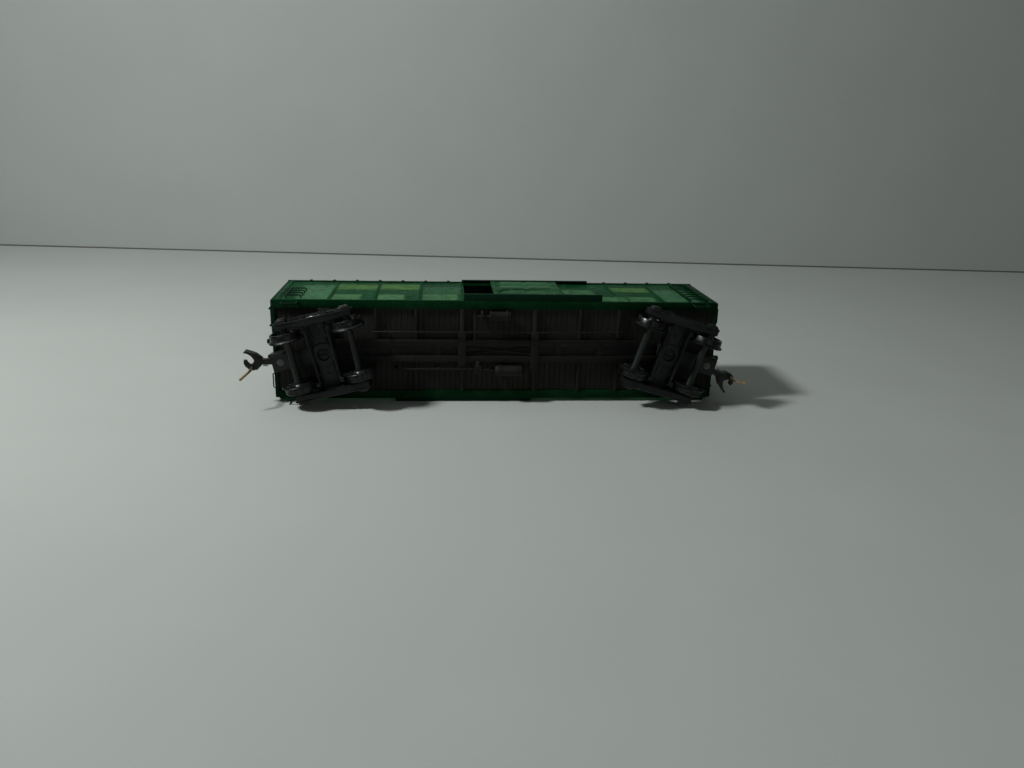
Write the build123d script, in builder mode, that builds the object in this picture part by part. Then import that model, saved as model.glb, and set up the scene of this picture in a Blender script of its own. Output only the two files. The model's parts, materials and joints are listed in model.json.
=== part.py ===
# HO scale (1:87) forty-foot steel box car, built up from the pieces it is assembled from.
# Frame: origin on the top of the rail under the middle of the car, +X along the car towards
# its brake (B) end, +Y towards its left side, +Z up. Millimetres.
from build123d import *
import os
from math import cos, radians, sin

os.makedirs("parts", exist_ok=True)

# ---- driving dimensions -------------------------------------------------------------------
body_length = 145.4          # over the end sheets, without their ribs
body_width = 32.6            # over the side sheets
sill_z = 11.5                # bottom edge of the side sheets
eave_z = 44.5                # top edge of the side sheets
ridge_rise = 1.9             # roof ridge above the eave
sheet = 0.9                  # side sheet thickness
end_sheet = 0.8              # end sheet thickness
floor_z = 12.1               # underside of the floor
floor_thickness = 0.8
door_opening = 22.0
door_width = 23.6
door_slid = 10.6             # how far the right door stands from closed
truck_x = 56.2               # truck pivots from the middle of the car
wheelbase = 19.8             # between the two axles of a truck
truck_angle = {"a": -13.0, "b": 17.0}     # degrees about +Z, from straight
coupler_angle = {"a": 12.0, "b": 19.0}    # degrees about +Z, from the truck's centre line
wheel_radius = 4.81
flange_radius = 5.5
wheel_z = wheel_radius       # axle height over the rail
back_to_back = 14.4          # between the wheels' back faces
wheel_width = 2.8
axle_radius = 1.2
axle_half_length = 13.0      # to the needle point
coupler_pivot_x = 14.4       # from the truck's pivot
running_gap = 0.07           # radial clearance of pins and shafts that turn

half_length = body_length / 2
half_width = body_width / 2
inside_x = half_length - end_sheet
inside_y = half_width - sheet
seam_xs = [11.2 + 14.6 * n for n in range(1, 4)]
spots = {"a": -1, "b": 1}


def save(shape, name):
    """Labels a finished piece and writes it as one STEP file."""
    shape.label = name
    export_step(shape, f"parts/{name}.step")


def place(shape, plane):
    """Carries a piece from the plane it was drawn on to where it sits in the car."""
    return plane.location * shape


def turned(x, y, angle):
    """A level plane at (x, y), with its X axis turned by angle degrees about +Z."""
    x_axis = (cos(radians(angle)), sin(radians(angle)), 0)
    return Plane(origin=(x, y, 0), x_dir=x_axis, z_dir=(0, 0, 1))


# Planes that carry a piece drawn for the right (-Y) side or the B end to its twin.
as_drawn = turned(0, 0, 0)
half_turn = turned(0, 0, 180)
sides = {"right": as_drawn, "left": half_turn}
ends = {"a": half_turn, "b": as_drawn}
right_face = Plane(origin=(0, -half_width, 0), x_dir=(1, 0, 0), z_dir=(0, -1, 0))
end_face = Plane(origin=(half_length, 0, 0), x_dir=(0, 1, 0), z_dir=(1, 0, 0))

# ---- body sides ---------------------------------------------------------------------------
side_height = eave_z - sill_z
side_mid_z = (eave_z + sill_z) / 2
door_sill_z = 13.0
door_head_z = 42.4
post_width = 1.2
corner_width = 1.4
batten_width = 1.1
batten_depth = 0.2
batten_height = 30.0         # between the lower and the upper door track
batten_mid_z = 28.1
post_depth = 0.25
side_sill_height = 1.4
sill_flange = 1.5            # turned in under the edge of the floor
top_strip_height = 0.5
eave_gap = 0.1               # between the raised strips and the roof's sloping underside

with BuildPart() as side_wall:
    with BuildSketch(right_face):
        with Locations((0, side_mid_z)):
            Rectangle(2 * inside_x, side_height)
        with Locations((0, (door_sill_z + door_head_z) / 2)):
            Rectangle(door_opening, door_head_z - door_sill_z, mode=Mode.SUBTRACT)
    extrude(amount=-sheet)
    with BuildSketch(right_face):
        for x in seam_xs:
            with Locations((x, batten_mid_z), (-x, batten_mid_z)):
                Rectangle(batten_width, batten_height)
    extrude(amount=batten_depth)
    with BuildSketch(right_face):
        post_x = (door_opening + post_width) / 2
        post_z = (door_sill_z + door_head_z) / 2
        with Locations((-post_x, post_z), (post_x, post_z)):
            Rectangle(post_width, door_head_z - door_sill_z)
        with Locations((0, sill_z + side_sill_height / 2)):
            Rectangle(2 * inside_x, side_sill_height)
        with Locations((0, eave_z - eave_gap - top_strip_height / 2)):
            Rectangle(2 * inside_x, top_strip_height)
        post_mid_z = side_mid_z - eave_gap / 2
        corner_x = inside_x - corner_width / 2
        with Locations((corner_x, post_mid_z), (-corner_x, post_mid_z)):
            Rectangle(corner_width, side_height - eave_gap)
    extrude(amount=post_depth)
    with BuildSketch(Plane.XY.offset(sill_z)):
        with Locations((0, -inside_y + sill_flange / 2)):
            Rectangle(2 * inside_x, sill_flange)
    extrude(amount=floor_z - sill_z)
for name, plane in sides.items():
    save(place(side_wall.part, plane), f"side_wall_{name}")

# ---- doors and their tracks ---------------------------------------------------------------
door_gap = 0.4               # between the side sheet and the door's back
door_thickness = 0.6
door_rib = 0.2
door_bottom_z = 12.4
door_top_z = 43.1
latch_x = 2.1                # in from the door's edge
door_height = door_top_z - door_bottom_z
door_mid_z = (door_top_z + door_bottom_z) / 2
door_back = right_face.offset(door_gap)
door_face = right_face.offset(door_gap + door_thickness)

with BuildPart() as door:
    with BuildSketch(door_back):
        with Locations((0, door_mid_z)):
            Rectangle(door_width, door_height)
    extrude(amount=door_thickness)
    with BuildSketch(door_face):
        for n in range(1, 4):
            with Locations((0, door_bottom_z + n * door_height / 4)):
                Rectangle(door_width - 2.4, 0.9)
        for x in (-door_width / 2 + 0.9, door_width / 2 - 0.9):
            with Locations((x, door_mid_z)):
                Rectangle(0.8, door_height - 2.2)
    extrude(amount=door_rib)
    with BuildSketch(door_face):
        with Locations((-door_width / 2 + latch_x, door_mid_z - 3)):
            Rectangle(0.6, 5)
        with Locations((-door_width / 2 + latch_x, door_mid_z - 1.6)):
            Rectangle(1.2, 1.0)
    extrude(amount=2 * door_rib)
save(place(door.part, turned(door_slid, 0, 0)), "door_right")
save(place(door.part, half_turn), "door_left")

track_start = -door_opening / 2 - 0.4
track_end = 34.0
track_length = track_end - track_start
track_mid = (track_start + track_end) / 2
track_plate = 0.6            # thickness of both tracks
ledge_z = 11.6               # underside of the lower track
ledge_reach = {"right": 2.5, "left": 1.4}     # out from the side sheet
hood_z = 43.2                # underside of the upper track
hood_reach = 1.3
lip = 0.25
lip_height = 0.5

for name, plane in sides.items():
    with BuildPart() as door_tracks:
        with BuildSketch(right_face.offset(post_depth)):
            with Locations((track_mid, ledge_z + track_plate / 2)):
                Rectangle(track_length, track_plate)
        extrude(amount=ledge_reach[name] - post_depth)
        with BuildSketch(right_face.offset(ledge_reach[name] - lip)):
            with Locations((track_mid, ledge_z + (track_plate + lip_height) / 2)):
                Rectangle(track_length, track_plate + lip_height)
        extrude(amount=lip)
        with BuildSketch(right_face):
            with Locations((track_mid, hood_z + track_plate / 2)):
                Rectangle(track_length, track_plate)
        extrude(amount=hood_reach)
        with BuildSketch(right_face.offset(hood_reach - lip)):
            with Locations((track_mid, hood_z + (track_plate - lip_height) / 2)):
                Rectangle(track_length, track_plate + lip_height)
        extrude(amount=lip)
    save(place(door_tracks.part, plane), f"door_tracks_{name}")

# ---- body ends ----------------------------------------------------------------------------
end_bottom_z = 11.7
end_rib_depth = 0.8
rib_count = 8
rib_pitch = 3.7
first_rib_z = 16.6
rib_half_length = 13.4
striker_y = 2.6
striker_reach = 2.2

with BuildPart() as end_wall:
    with BuildSketch(end_face):
        with BuildLine():
            Polyline(
                (-half_width, end_bottom_z),
                (half_width, end_bottom_z),
                (half_width, eave_z),
                (0, eave_z + ridge_rise),
                (-half_width, eave_z),
                close=True,
            )
        make_face()
    extrude(amount=-end_sheet)
    with BuildSketch(end_face):
        for n in range(rib_count):
            with Locations((0, first_rib_z + n * rib_pitch)):
                SlotOverall(2 * rib_half_length, 1.9)
    extrude(amount=end_rib_depth, taper=32)
    with BuildSketch(end_face):
        with Locations((0, end_bottom_z + 1.1)):
            Rectangle(body_width, 2.2)
        with Locations((half_width - 0.6, 28.5), (0.6 - half_width, 28.5)):
            Rectangle(1.2, 32)
    extrude(amount=0.45)
    with BuildSketch(end_face):
        with Locations((-striker_y, end_bottom_z + 0.9), (striker_y, end_bottom_z + 0.9)):
            Rectangle(1.2, 1.8)
    extrude(amount=striker_reach)
for name, plane in ends.items():
    save(place(end_wall.part, plane), f"end_wall_{name}")

# ---- roof and running board ---------------------------------------------------------------
roof_half_width = half_width + 0.35
roof_length = body_length + 0.6
roof_thickness = 0.7
panel_count = 18
panel_pitch = roof_length / panel_count
seam_width = 0.7
seam_height = 0.4
slope = ridge_rise / half_width


def roof_outline(lift):
    """The roof's cross-section: a shallow gable, as thick as the roof plus lift."""
    drop = slope * (roof_half_width - half_width)
    with BuildLine() as outline:
        Polyline(
            (-roof_half_width, eave_z - drop),
            (0, eave_z + ridge_rise),
            (roof_half_width, eave_z - drop),
            (roof_half_width, eave_z - drop + roof_thickness + lift),
            (0, eave_z + ridge_rise + roof_thickness + lift),
            (-roof_half_width, eave_z - drop + roof_thickness + lift),
            close=True,
        )
    return outline.line


across = Plane(origin=(0, 0, 0), x_dir=(0, 1, 0), z_dir=(1, 0, 0))
with BuildPart() as roof:
    with BuildSketch(across.offset(-roof_length / 2)):
        make_face(roof_outline(0))
    extrude(amount=roof_length)
    for n in range(1, panel_count):
        with BuildSketch(across.offset(-roof_length / 2 + n * panel_pitch - seam_width / 2)):
            make_face(roof_outline(seam_height))
        extrude(amount=seam_width)
save(roof.part, "roof")

plank_width = 1.6
plank_gap = 0.25
board_z = eave_z + ridge_rise + roof_thickness + seam_height + 0.5
board_thickness = 0.5
board_overhang = 1.2
lateral_x = 67.0

with BuildPart() as running_board:
    with BuildSketch(Plane.XY.offset(board_z)):
        with GridLocations(0, plank_width + plank_gap, 1, 3):
            Rectangle(roof_length + 2 * board_overhang, plank_width)
        for way in (-1, 1):
            with Locations((way * (lateral_x - 0.93), way * 8.4), (way * (lateral_x + 0.93), way * 8.4)):
                Rectangle(plank_width, 11.3)
    extrude(amount=board_thickness)
    with BuildSketch(Plane.XY.offset(board_z)):
        for n in range(1, panel_count):
            with Locations((-roof_length / 2 + n * panel_pitch, 0)):
                Rectangle(0.6, 5)
        with Locations((lateral_x, 13.0), (-lateral_x, -13.0), (lateral_x, 5.0), (-lateral_x, -5.0)):
            Rectangle(3.2, 0.6)
    extrude(amount=-0.4)
save(running_board.part, "running_board")

# ---- floor, underframe and weight ---------------------------------------------------------
tie_xs = (27.0, 40.0)
bearer_x = 12.0
web_y = 2.1                  # outer face of the centre sill's webs
sill_bottom_z = 10.5
flange_y = 3.75
flange_thickness = 0.4
channel_y = 1.6
sill_half_length = truck_x - 3.2
member_y = inside_y - sill_flange     # where the cross members meet the side sills

with BuildPart() as car_floor:
    with BuildSketch(Plane.XY.offset(floor_z)):
        Rectangle(2 * inside_x, 2 * inside_y)
    extrude(amount=floor_thickness)
    with BuildSketch(Plane.XY.offset(floor_z)):
        for x in tie_xs:
            for tie_y in (-(member_y + web_y) / 2, (member_y + web_y) / 2):
                with Locations((x, tie_y), (-x, tie_y)):
                    Rectangle(0.8, member_y - web_y)
    extrude(amount=-0.9)
save(car_floor.part, "car_floor")

with BuildPart() as centre_sill:
    with BuildSketch(across.offset(-sill_half_length)):
        with Locations((0, (floor_z + sill_bottom_z) / 2)):
            Rectangle(2 * web_y, floor_z - sill_bottom_z)
        with Locations((0, sill_bottom_z + flange_thickness / 2)):
            Rectangle(2 * flange_y, flange_thickness)
        with Locations((0, (floor_z - 0.5 + sill_bottom_z) / 2)):
            Rectangle(2 * channel_y, floor_z - 0.5 - sill_bottom_z, mode=Mode.SUBTRACT)
    extrude(amount=2 * sill_half_length)
save(centre_sill.part, "centre_sill")

plate_z = sill_bottom_z - 0.4
with BuildPart() as crossbearers:
    for x in (-bearer_x, bearer_x):
        with BuildSketch(across.offset(x - 0.6)):
            for way in (-1, 1):
                with BuildLine():
                    Polyline(
                        (way * web_y, floor_z),
                        (way * member_y, floor_z),
                        (way * member_y, floor_z - 0.8),
                        (way * 6.2, sill_bottom_z),
                        (way * flange_y, sill_bottom_z),
                        (way * flange_y, sill_bottom_z + flange_thickness),
                        (way * web_y, sill_bottom_z + flange_thickness),
                        close=True,
                    )
                make_face()
        extrude(amount=1.2)
        with BuildSketch(Plane.XY.offset(plate_z)):
            with Locations((x, 0)):
                Rectangle(2.6, 12.4)
        extrude(amount=0.4)
save(crossbearers.part, "crossbearers")

pivot_gap_z = 9.2            # where the body's pivot boss ends, just over the truck bolster
screw_radius = 0.95
with BuildPart() as body_bolster:
    with BuildSketch(Plane.YZ.offset(-2)):
        with BuildLine():
            Polyline(
                (-member_y, floor_z),
                (member_y, floor_z),
                (member_y, floor_z - 0.7),
                (5.0, floor_z - 1.3),
                (-5.0, floor_z - 1.3),
                (-member_y, floor_z - 0.7),
                close=True,
            )
        make_face()
    extrude(amount=4)
    with BuildSketch(Plane.XY.offset(floor_z)):
        Circle(3.0)
    extrude(amount=pivot_gap_z - floor_z)
    with Locations(Plane.XY.offset(pivot_gap_z)):
        Cylinder(screw_radius, 2.3, align=(Align.CENTER, Align.CENTER, Align.MIN), mode=Mode.SUBTRACT)
for name, way in spots.items():
    save(place(body_bolster.part, turned(way * truck_x, 0, 0)), f"body_bolster_{name}")

weight_thickness = 1.0
with BuildPart() as steel_weight:
    with BuildSketch(Plane.XY.offset(floor_z + floor_thickness)):
        Rectangle(118, 25)
    extrude(amount=weight_thickness)
save(steel_weight.part, "steel_weight")

# ---- brake rigging under the floor --------------------------------------------------------
cylinder_x = 0.8
cylinder_y = -11.8
cylinder_z = 10.0
cylinder_radius = 1.6
with BuildPart() as brake_cylinder:
    with BuildSketch(Plane(origin=(cylinder_x - 3.3, cylinder_y, cylinder_z), z_dir=(1, 0, 0))):
        Circle(cylinder_radius)
    extrude(amount=6.6)
    fillet(brake_cylinder.edges().filter_by(GeomType.CIRCLE).sort_by(Axis.X)[-1:], 0.6)
    with BuildSketch(Plane(origin=(cylinder_x - 3.3, cylinder_y, cylinder_z), z_dir=(-1, 0, 0))):
        Circle(cylinder_radius + 0.15)
    extrude(amount=0.5)
    with BuildSketch(Plane(origin=(cylinder_x - 3.8, cylinder_y, cylinder_z), z_dir=(-1, 0, 0))):
        Circle(0.35)
    extrude(amount=4.0)
    with BuildSketch(Plane.XY.offset(cylinder_z)):
        with Locations((cylinder_x - 1.6, cylinder_y), (cylinder_x + 1.6, cylinder_y)):
            Rectangle(0.8, 2.2)
    extrude(amount=floor_z - cylinder_z)
save(brake_cylinder.part, "brake_cylinder")

tank_x = 3.6
tank_y = 6.6
tank_z = 9.9
tank_radius = 1.8
with BuildPart() as air_reservoir:
    with BuildSketch(Plane(origin=(tank_x - 4.6, tank_y, tank_z), z_dir=(1, 0, 0))):
        Circle(tank_radius)
    extrude(amount=9.2)
    fillet(air_reservoir.edges().filter_by(GeomType.CIRCLE), 0.7)
    with BuildSketch(Plane.XY.offset(tank_z)):
        with Locations((tank_x - 2.6, tank_y), (tank_x + 2.6, tank_y)):
            Rectangle(0.8, 2.4)
    extrude(amount=floor_z - tank_z)
save(air_reservoir.part, "air_reservoir")

valve_x = -6.6
valve_y = 6.0
with BuildPart() as control_valve:
    with BuildSketch(Plane.XY.offset(9.3)):
        with Locations((valve_x, valve_y)):
            Rectangle(2.4, 2.8)
    extrude(amount=floor_z - 9.3)
    fillet(control_valve.edges().filter_by(Axis.Z), 0.4)
    with BuildSketch(Plane(origin=(valve_x, valve_y - 2.0, 10.2), z_dir=(0, 1, 0))):
        Circle(0.75)
    extrude(amount=4.0)
save(control_valve.part, "control_valve")

pipe_radius = 0.3
pipe_z = 9.7
pipe_runs = (
    ((valve_x + 1.2, valve_y), (tank_x - 4.6, tank_y)),
    ((valve_x - 1.2, valve_y), (-34.0, valve_y)),
)
with BuildPart() as air_pipes:
    for start, end in pipe_runs:
        run = Vector(end[0] - start[0], end[1] - start[1], 0)
        with BuildSketch(Plane(origin=(start[0], start[1], pipe_z), z_dir=run)):
            Circle(pipe_radius)
        extrude(amount=run.length)
    with Locations((-33.6, valve_y, (floor_z + pipe_z) / 2), (-20.0, valve_y, (floor_z + pipe_z) / 2)):
        Box(0.7, 0.9, floor_z - pipe_z)
save(air_pipes.part, "air_pipes")

rod_radius = 0.22
rod_y = -6.6
rod_z = 9.5
lever_x = -7.9
rod_tip_x = 41.0
with BuildPart() as brake_rods:
    for way, height in ((-1, 10.8), (1, 11.35)):
        start = (-11.0, way * 1.1, height)
        run = Vector(22.0, -way * 2.2, 0)
        with BuildSketch(Plane(origin=start, z_dir=run)):
            Circle(rod_radius)
        extrude(amount=run.length)
        with Locations((-10.9, way * 1.1, 11.1), (10.9, -way * 1.1, 11.1)):
            Box(0.5, 0.6, 1.0)
    with Locations((lever_x, (cylinder_y - 3.75) / 2 - 0.2, rod_z + 0.3)):
        Box(0.7, 9.4, 0.4)
    for end_x in (-rod_tip_x, rod_tip_x):
        run = Vector(end_x - lever_x, 0, 0)
        with BuildSketch(Plane(origin=(lever_x, rod_y, rod_z), z_dir=run)):
            Circle(rod_radius)
        extrude(amount=run.length)
        way = 1 if end_x > 0 else -1
        with Locations((way * (rod_tip_x - 4), rod_y, (floor_z + rod_z) / 2)):
            Box(0.5, 0.5, floor_z - rod_z)
save(brake_rods.part, "brake_rods")

# ---- brake gear on the B end --------------------------------------------------------------
end_gear_x = half_length + end_rib_depth     # outer plane of the end's ribs
gear_y = -5.0
gear_z = 36.4
brake_wheel_radius = 3.2
shaft_radius = 0.4

with BuildPart() as brake_housing:
    with BuildSketch(Plane.YZ.offset(end_gear_x)):
        with Locations((gear_y, gear_z)):
            Rectangle(3.4, 3.8)
    extrude(amount=1.2)
    fillet(brake_housing.edges().filter_by(Axis.X), 0.7)
    with BuildSketch(Plane.YZ.offset(end_gear_x + 1.2)):
        with Locations((gear_y, gear_z)):
            Circle(shaft_radius + running_gap)
    extrude(amount=-1.0, mode=Mode.SUBTRACT)
    with BuildSketch(Plane.XY.offset(14.5)):
        with Locations((end_gear_x + 0.35, gear_y - 1.1)):
            Circle(0.25)
    extrude(amount=gear_z - 14.5 - 1.0)
save(brake_housing.part, "brake_housing")

step_z = 29.2
with BuildPart() as brake_step:
    with BuildSketch(Plane.XY.offset(step_z)):
        with Locations((end_gear_x + 1.2, gear_y)):
            Rectangle(2.4, 7.0)
        with Locations((end_gear_x + 0.35, gear_y - 1.1)):
            Rectangle(0.9, 0.9, mode=Mode.SUBTRACT)
    extrude(amount=0.4)
    for y in (gear_y - 2.9, gear_y + 2.9):
        with BuildSketch(Plane.XZ.offset(-y - 0.2)):
            with BuildLine():
                Polyline((end_gear_x, step_z), (end_gear_x + 2.0, step_z), (end_gear_x, step_z - 2.2), close=True)
            make_face()
        extrude(amount=0.4)
save(brake_step.part, "brake_step")

wheel_plane_x = end_gear_x + 2.1
with BuildPart() as brake_wheel:
    with BuildSketch(Plane.YZ.offset(wheel_plane_x)):
        with Locations((gear_y, gear_z)):
            Circle(brake_wheel_radius)
            Circle(brake_wheel_radius - 0.6, mode=Mode.SUBTRACT)
            Circle(0.8)
            for angle in (0, 60, 120):
                Rectangle(2 * brake_wheel_radius - 0.6, 0.45, rotation=angle)
    extrude(amount=0.5)
    with BuildSketch(Plane.YZ.offset(end_gear_x + 0.3)):
        with Locations((gear_y, gear_z)):
            Circle(shaft_radius)
    extrude(amount=wheel_plane_x - end_gear_x - 0.3)
save(brake_wheel.part, "brake_wheel")

# ---- ladders, grab irons and steps --------------------------------------------------------
rung_radius = 0.2
rung_pitch = 3.9
ladder_width = 5.6
ladder_bottom_z = 15.0
rung_count = 7
ladder_top_z = ladder_bottom_z + (rung_count - 1) * rung_pitch + 2.6
ladder_mid_z = (ladder_bottom_z + ladder_top_z) / 2 - 0.6
ladder_height = ladder_top_z - ladder_bottom_z + 1.2


def ladder(face, centre, reach):
    """Two stiles and their rungs, standing off a vertical face."""
    with BuildPart() as piece:
        with BuildSketch(face):
            with Locations((centre - ladder_width / 2, ladder_mid_z), (centre + ladder_width / 2, ladder_mid_z)):
                Rectangle(0.45, ladder_height)
        extrude(amount=reach)
        for n in range(rung_count):
            z = ladder_bottom_z + n * rung_pitch + 0.8
            start = face.from_local_coords((centre - ladder_width / 2, z, reach - 0.25))
            with BuildSketch(Plane(origin=start, x_dir=face.z_dir, z_dir=face.x_dir)):
                Circle(rung_radius)
            extrude(amount=ladder_width)
    return piece.part


side_ladder = ladder(right_face, inside_x - 5.0, 0.9)
end_ladder = ladder(end_face.offset(end_rib_depth), 10.2, 0.7)
side_ladders = Compound([place(side_ladder, plane) for plane in sides.values()])
end_ladders = Compound([place(end_ladder, plane) for plane in ends.values()])
save(side_ladders, "side_ladders")
save(end_ladders, "end_ladders")


def grab_iron(face, centre, z, reach):
    """A round bar bent into a wide U, its two feet on a vertical face."""
    half = 2.4
    corners = [(centre - half, z, 0), (centre - half, z, reach), (centre + half, z, reach), (centre + half, z, 0)]
    points = [face.from_local_coords(c) for c in corners]
    with BuildPart() as piece:
        with BuildLine() as path:
            FilletPolyline(*points, radius=0.3)
        with BuildSketch(Plane(origin=points[0], z_dir=points[1] - points[0])):
            Circle(rung_radius)
        sweep(path=path.line)
    return piece.part


side_grabs = [grab_iron(right_face, 5.4 - inside_x, ladder_bottom_z + 0.8 + n * rung_pitch, 0.9) for n in range(4)]
end_grabs = [grab_iron(end_face.offset(0.02), -11.4, first_rib_z - 1.85 + n * rib_pitch, 1.5) for n in range(4)]
grab_irons = [place(bar, plane) for bar in side_grabs for plane in sides.values()]
grab_irons += [place(bar, plane) for bar in end_grabs for plane in ends.values()]
save(Compound(grab_irons), "grab_irons")

step_drop = 3.6
step_width = 5.2
with BuildPart() as stirrup:
    with BuildSketch(right_face.offset(-0.2)):
        with Locations((inside_x - 5.0, sill_z - step_drop / 2)):
            Rectangle(step_width, step_drop)
        with Locations((inside_x - 5.0, sill_z - (step_drop - 0.5) / 2)):
            Rectangle(step_width - 1.0, step_drop - 0.5, mode=Mode.SUBTRACT)
    extrude(amount=-0.5)
mirrored_stirrup = mirror(stirrup.part, about=Plane.YZ)
steps = [place(step, plane) for step in (stirrup.part, mirrored_stirrup) for plane in sides.values()]
save(Compound(steps), "stirrup_steps")

# ---- truck --------------------------------------------------------------------------------
axle_x = wheelbase / 2
frame_y = 11.1               # inner face of a side frame
frame_thickness = 1.9
frame_half_length = 12.7
bolster_top_z = 9.1
bolster_bottom_z = 5.8
tongue_top_z = 8.3
window_half = 2.9            # half width of the side frame's middle opening
bearing_depth = 2.15
taper = (axle_radius - 0.15) / 2.4

with BuildPart() as truck_bolster:
    with BuildSketch(Plane.XY.offset(bolster_bottom_z)):
        Rectangle(5.0, 2 * frame_y - 0.1)
    extrude(amount=8.4 - bolster_bottom_z)
    with BuildSketch(Plane.XY.offset(bolster_bottom_z)):
        Circle(3.2)
    extrude(amount=bolster_top_z - bolster_bottom_z)
    with BuildSketch(Plane.XY.offset(6.2)):
        Rectangle(2 * window_half - 0.2, 2 * frame_y + 2.6)
    extrude(amount=1.4)
    with BuildSketch(Plane.XY.offset(tongue_top_z - 0.7)):
        with Locations((9.4, 0)):
            Rectangle(15.6, 5.4)
    extrude(amount=0.7)
    with BuildSketch(Plane.XY.offset(bolster_bottom_z)):
        Circle(2.0)
    extrude(amount=1.6, mode=Mode.SUBTRACT)
    with BuildSketch(Plane.XY.offset(bolster_bottom_z)):
        Circle(screw_radius + running_gap)
    extrude(amount=4, mode=Mode.SUBTRACT)

frame_side = Plane(origin=(0, -frame_y, 0), x_dir=(1, 0, 0), z_dir=(0, -1, 0))
with BuildPart() as side_frame:
    with BuildSketch(frame_side):
        with BuildLine():
            Polyline(
                (-frame_half_length, 6.8),
                (-axle_x, 7.2),
                (-4.4, 8.9),
                (4.4, 8.9),
                (axle_x, 7.2),
                (frame_half_length, 6.8),
                (frame_half_length - 0.7, 3.1),
                (axle_x - 2.1, 3.0),
                (3.9, 2.4),
                (-3.9, 2.4),
                (2.1 - axle_x, 3.0),
                (0.7 - frame_half_length, 3.1),
                close=True,
            )
        make_face()
        with Locations((0, 6.0)):
            Rectangle(2 * window_half, 3.8, mode=Mode.SUBTRACT)
        for way in (-1, 1):
            with BuildLine():
                Polyline(
                    (way * 4.1, 7.6),
                    (way * 7.2, 6.3),
                    (way * 7.2, 4.6),
                    (way * 4.1, 3.9),
                    close=True,
                )
            make_face(mode=Mode.SUBTRACT)
    extrude(amount=frame_thickness)
    with BuildSketch(frame_side.offset(frame_thickness)):
        with Locations((-axle_x, wheel_z), (axle_x, wheel_z)):
            Rectangle(3.2, 3.4)
    extrude(amount=0.9)
    for x in (-axle_x, axle_x):
        with Locations(Plane(origin=(x, -frame_y, wheel_z), z_dir=(0, -1, 0))):
            Cone(
                bottom_radius=axle_radius - (frame_y - 10.6) * taper + 0.08,
                top_radius=0.15,
                height=bearing_depth,
                align=(Align.CENTER, Align.CENTER, Align.MIN),
                mode=Mode.SUBTRACT,
            )

with BuildPart() as springs:
    for y in (-frame_y - 1.0, frame_y + 1.0):
        for x in (-1.5, 1.5):
            with BuildSketch(Plane(origin=(x, y, 4.1), z_dir=(0, 0, 1))):
                Circle(0.9)
            extrude(amount=2.1)

shoe_reach = 4.5
with BuildPart() as brake_beams:
    for way in (-1, 1):
        with Locations((way * 3.4, 0, 4.9)):
            Box(0.9, 19.4, 1.0)
        with Locations((way * 3.9, -8.95, 4.8), (way * 3.9, 8.95, 4.8)):
            Box(2 * (shoe_reach - 3.9), 1.5, 2.0)
        with Locations((way * 2.7, -6.0, 5.5), (way * 2.7, 6.0, 5.5)):
            Box(0.8, 0.8, 0.6)

box_start = 10.6
box_end = 17.2
box_half_width = 3.1
box_wall = 0.5
box_top_z = 11.1
pivot_radius = 0.85
with BuildPart() as coupler_box:
    with BuildSketch(Plane.XY.offset(tongue_top_z)):
        with Locations(((box_start + box_end) / 2, 0)):
            Rectangle(box_end - box_start, 2 * box_half_width)
    extrude(amount=box_top_z - box_wall - tongue_top_z)
    with BuildSketch(Plane.XY.offset(tongue_top_z)):
        with Locations(((box_start + box_end) / 2 + box_wall, 0)):
            Rectangle(box_end - box_start, 2 * (box_half_width - box_wall))
    extrude(amount=box_top_z - box_wall - tongue_top_z, mode=Mode.SUBTRACT)

with BuildPart() as coupler_cover:
    with BuildSketch(Plane.XY.offset(box_top_z - box_wall)):
        with Locations(((box_start + box_end) / 2, 0)):
            Rectangle(box_end - box_start, 2 * box_half_width)
    extrude(amount=box_wall)
    fillet(coupler_cover.edges().filter_by(Axis.Z), 0.6)
    with BuildSketch(Plane.XY.offset(box_top_z - box_wall)):
        with Locations((coupler_pivot_x, 0)):
            Circle(pivot_radius)
    extrude(amount=tongue_top_z - box_top_z + box_wall)

wheel_back = back_to_back / 2
wheel_face = wheel_back + wheel_width
with BuildPart() as wheels:
    for way in (-1, 1):
        with BuildSketch(Plane.YZ):
            with BuildLine():
                Polyline(
                    (way * wheel_back, axle_radius),
                    (way * wheel_back, flange_radius - 0.15),
                    (way * (wheel_back + 0.15), flange_radius),
                    (way * (wheel_back + 0.45), flange_radius),
                    (way * (wheel_back + 0.8), wheel_radius + 0.05),
                    (way * (wheel_face - 0.1), wheel_radius - 0.05),
                    (way * wheel_face, wheel_radius - 0.2),
                    (way * wheel_face, wheel_radius - 0.8),
                    (way * (wheel_face - 1.1), wheel_radius - 1.2),
                    (way * (wheel_face - 1.1), 2.2),
                    (way * (wheel_face - 0.1), 1.8),
                    (way * (wheel_face - 0.1), axle_radius),
                    close=True,
                )
            make_face()
        revolve(axis=Axis.Y)

with BuildPart() as axle:
    with BuildSketch(Plane.YZ):
        with BuildLine():
            Polyline(
                (-axle_half_length, 0),
                (-axle_half_length, 0.15),
                (-10.6, axle_radius),
                (10.6, axle_radius),
                (axle_half_length, 0.15),
                (axle_half_length, 0),
                close=True,
            )
        make_face()
    revolve(axis=Axis.Y)

with BuildPart() as truck_screw:
    with BuildSketch(Plane.XY.offset(6.1)):
        Circle(1.8)
    extrude(amount=1.2)
    with BuildSketch(Plane.XY.offset(6.1)):
        Rectangle(3.0, 0.5)
    extrude(amount=0.5, mode=Mode.SUBTRACT)
    with BuildSketch(Plane.XY.offset(7.3)):
        Circle(screw_radius)
    extrude(amount=4.2)

# ---- knuckle coupler, drawn with its pivot at the origin and pointing along +X ---------------
shank_bottom_z = 8.5
shank_thickness = 1.9
head_bottom_z = 8.3
head_top_z = 11.35
knuckle_x = 9.2
knuckle_y = -1.8
lug_thickness = 0.7
pin_radius = 0.45

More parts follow.
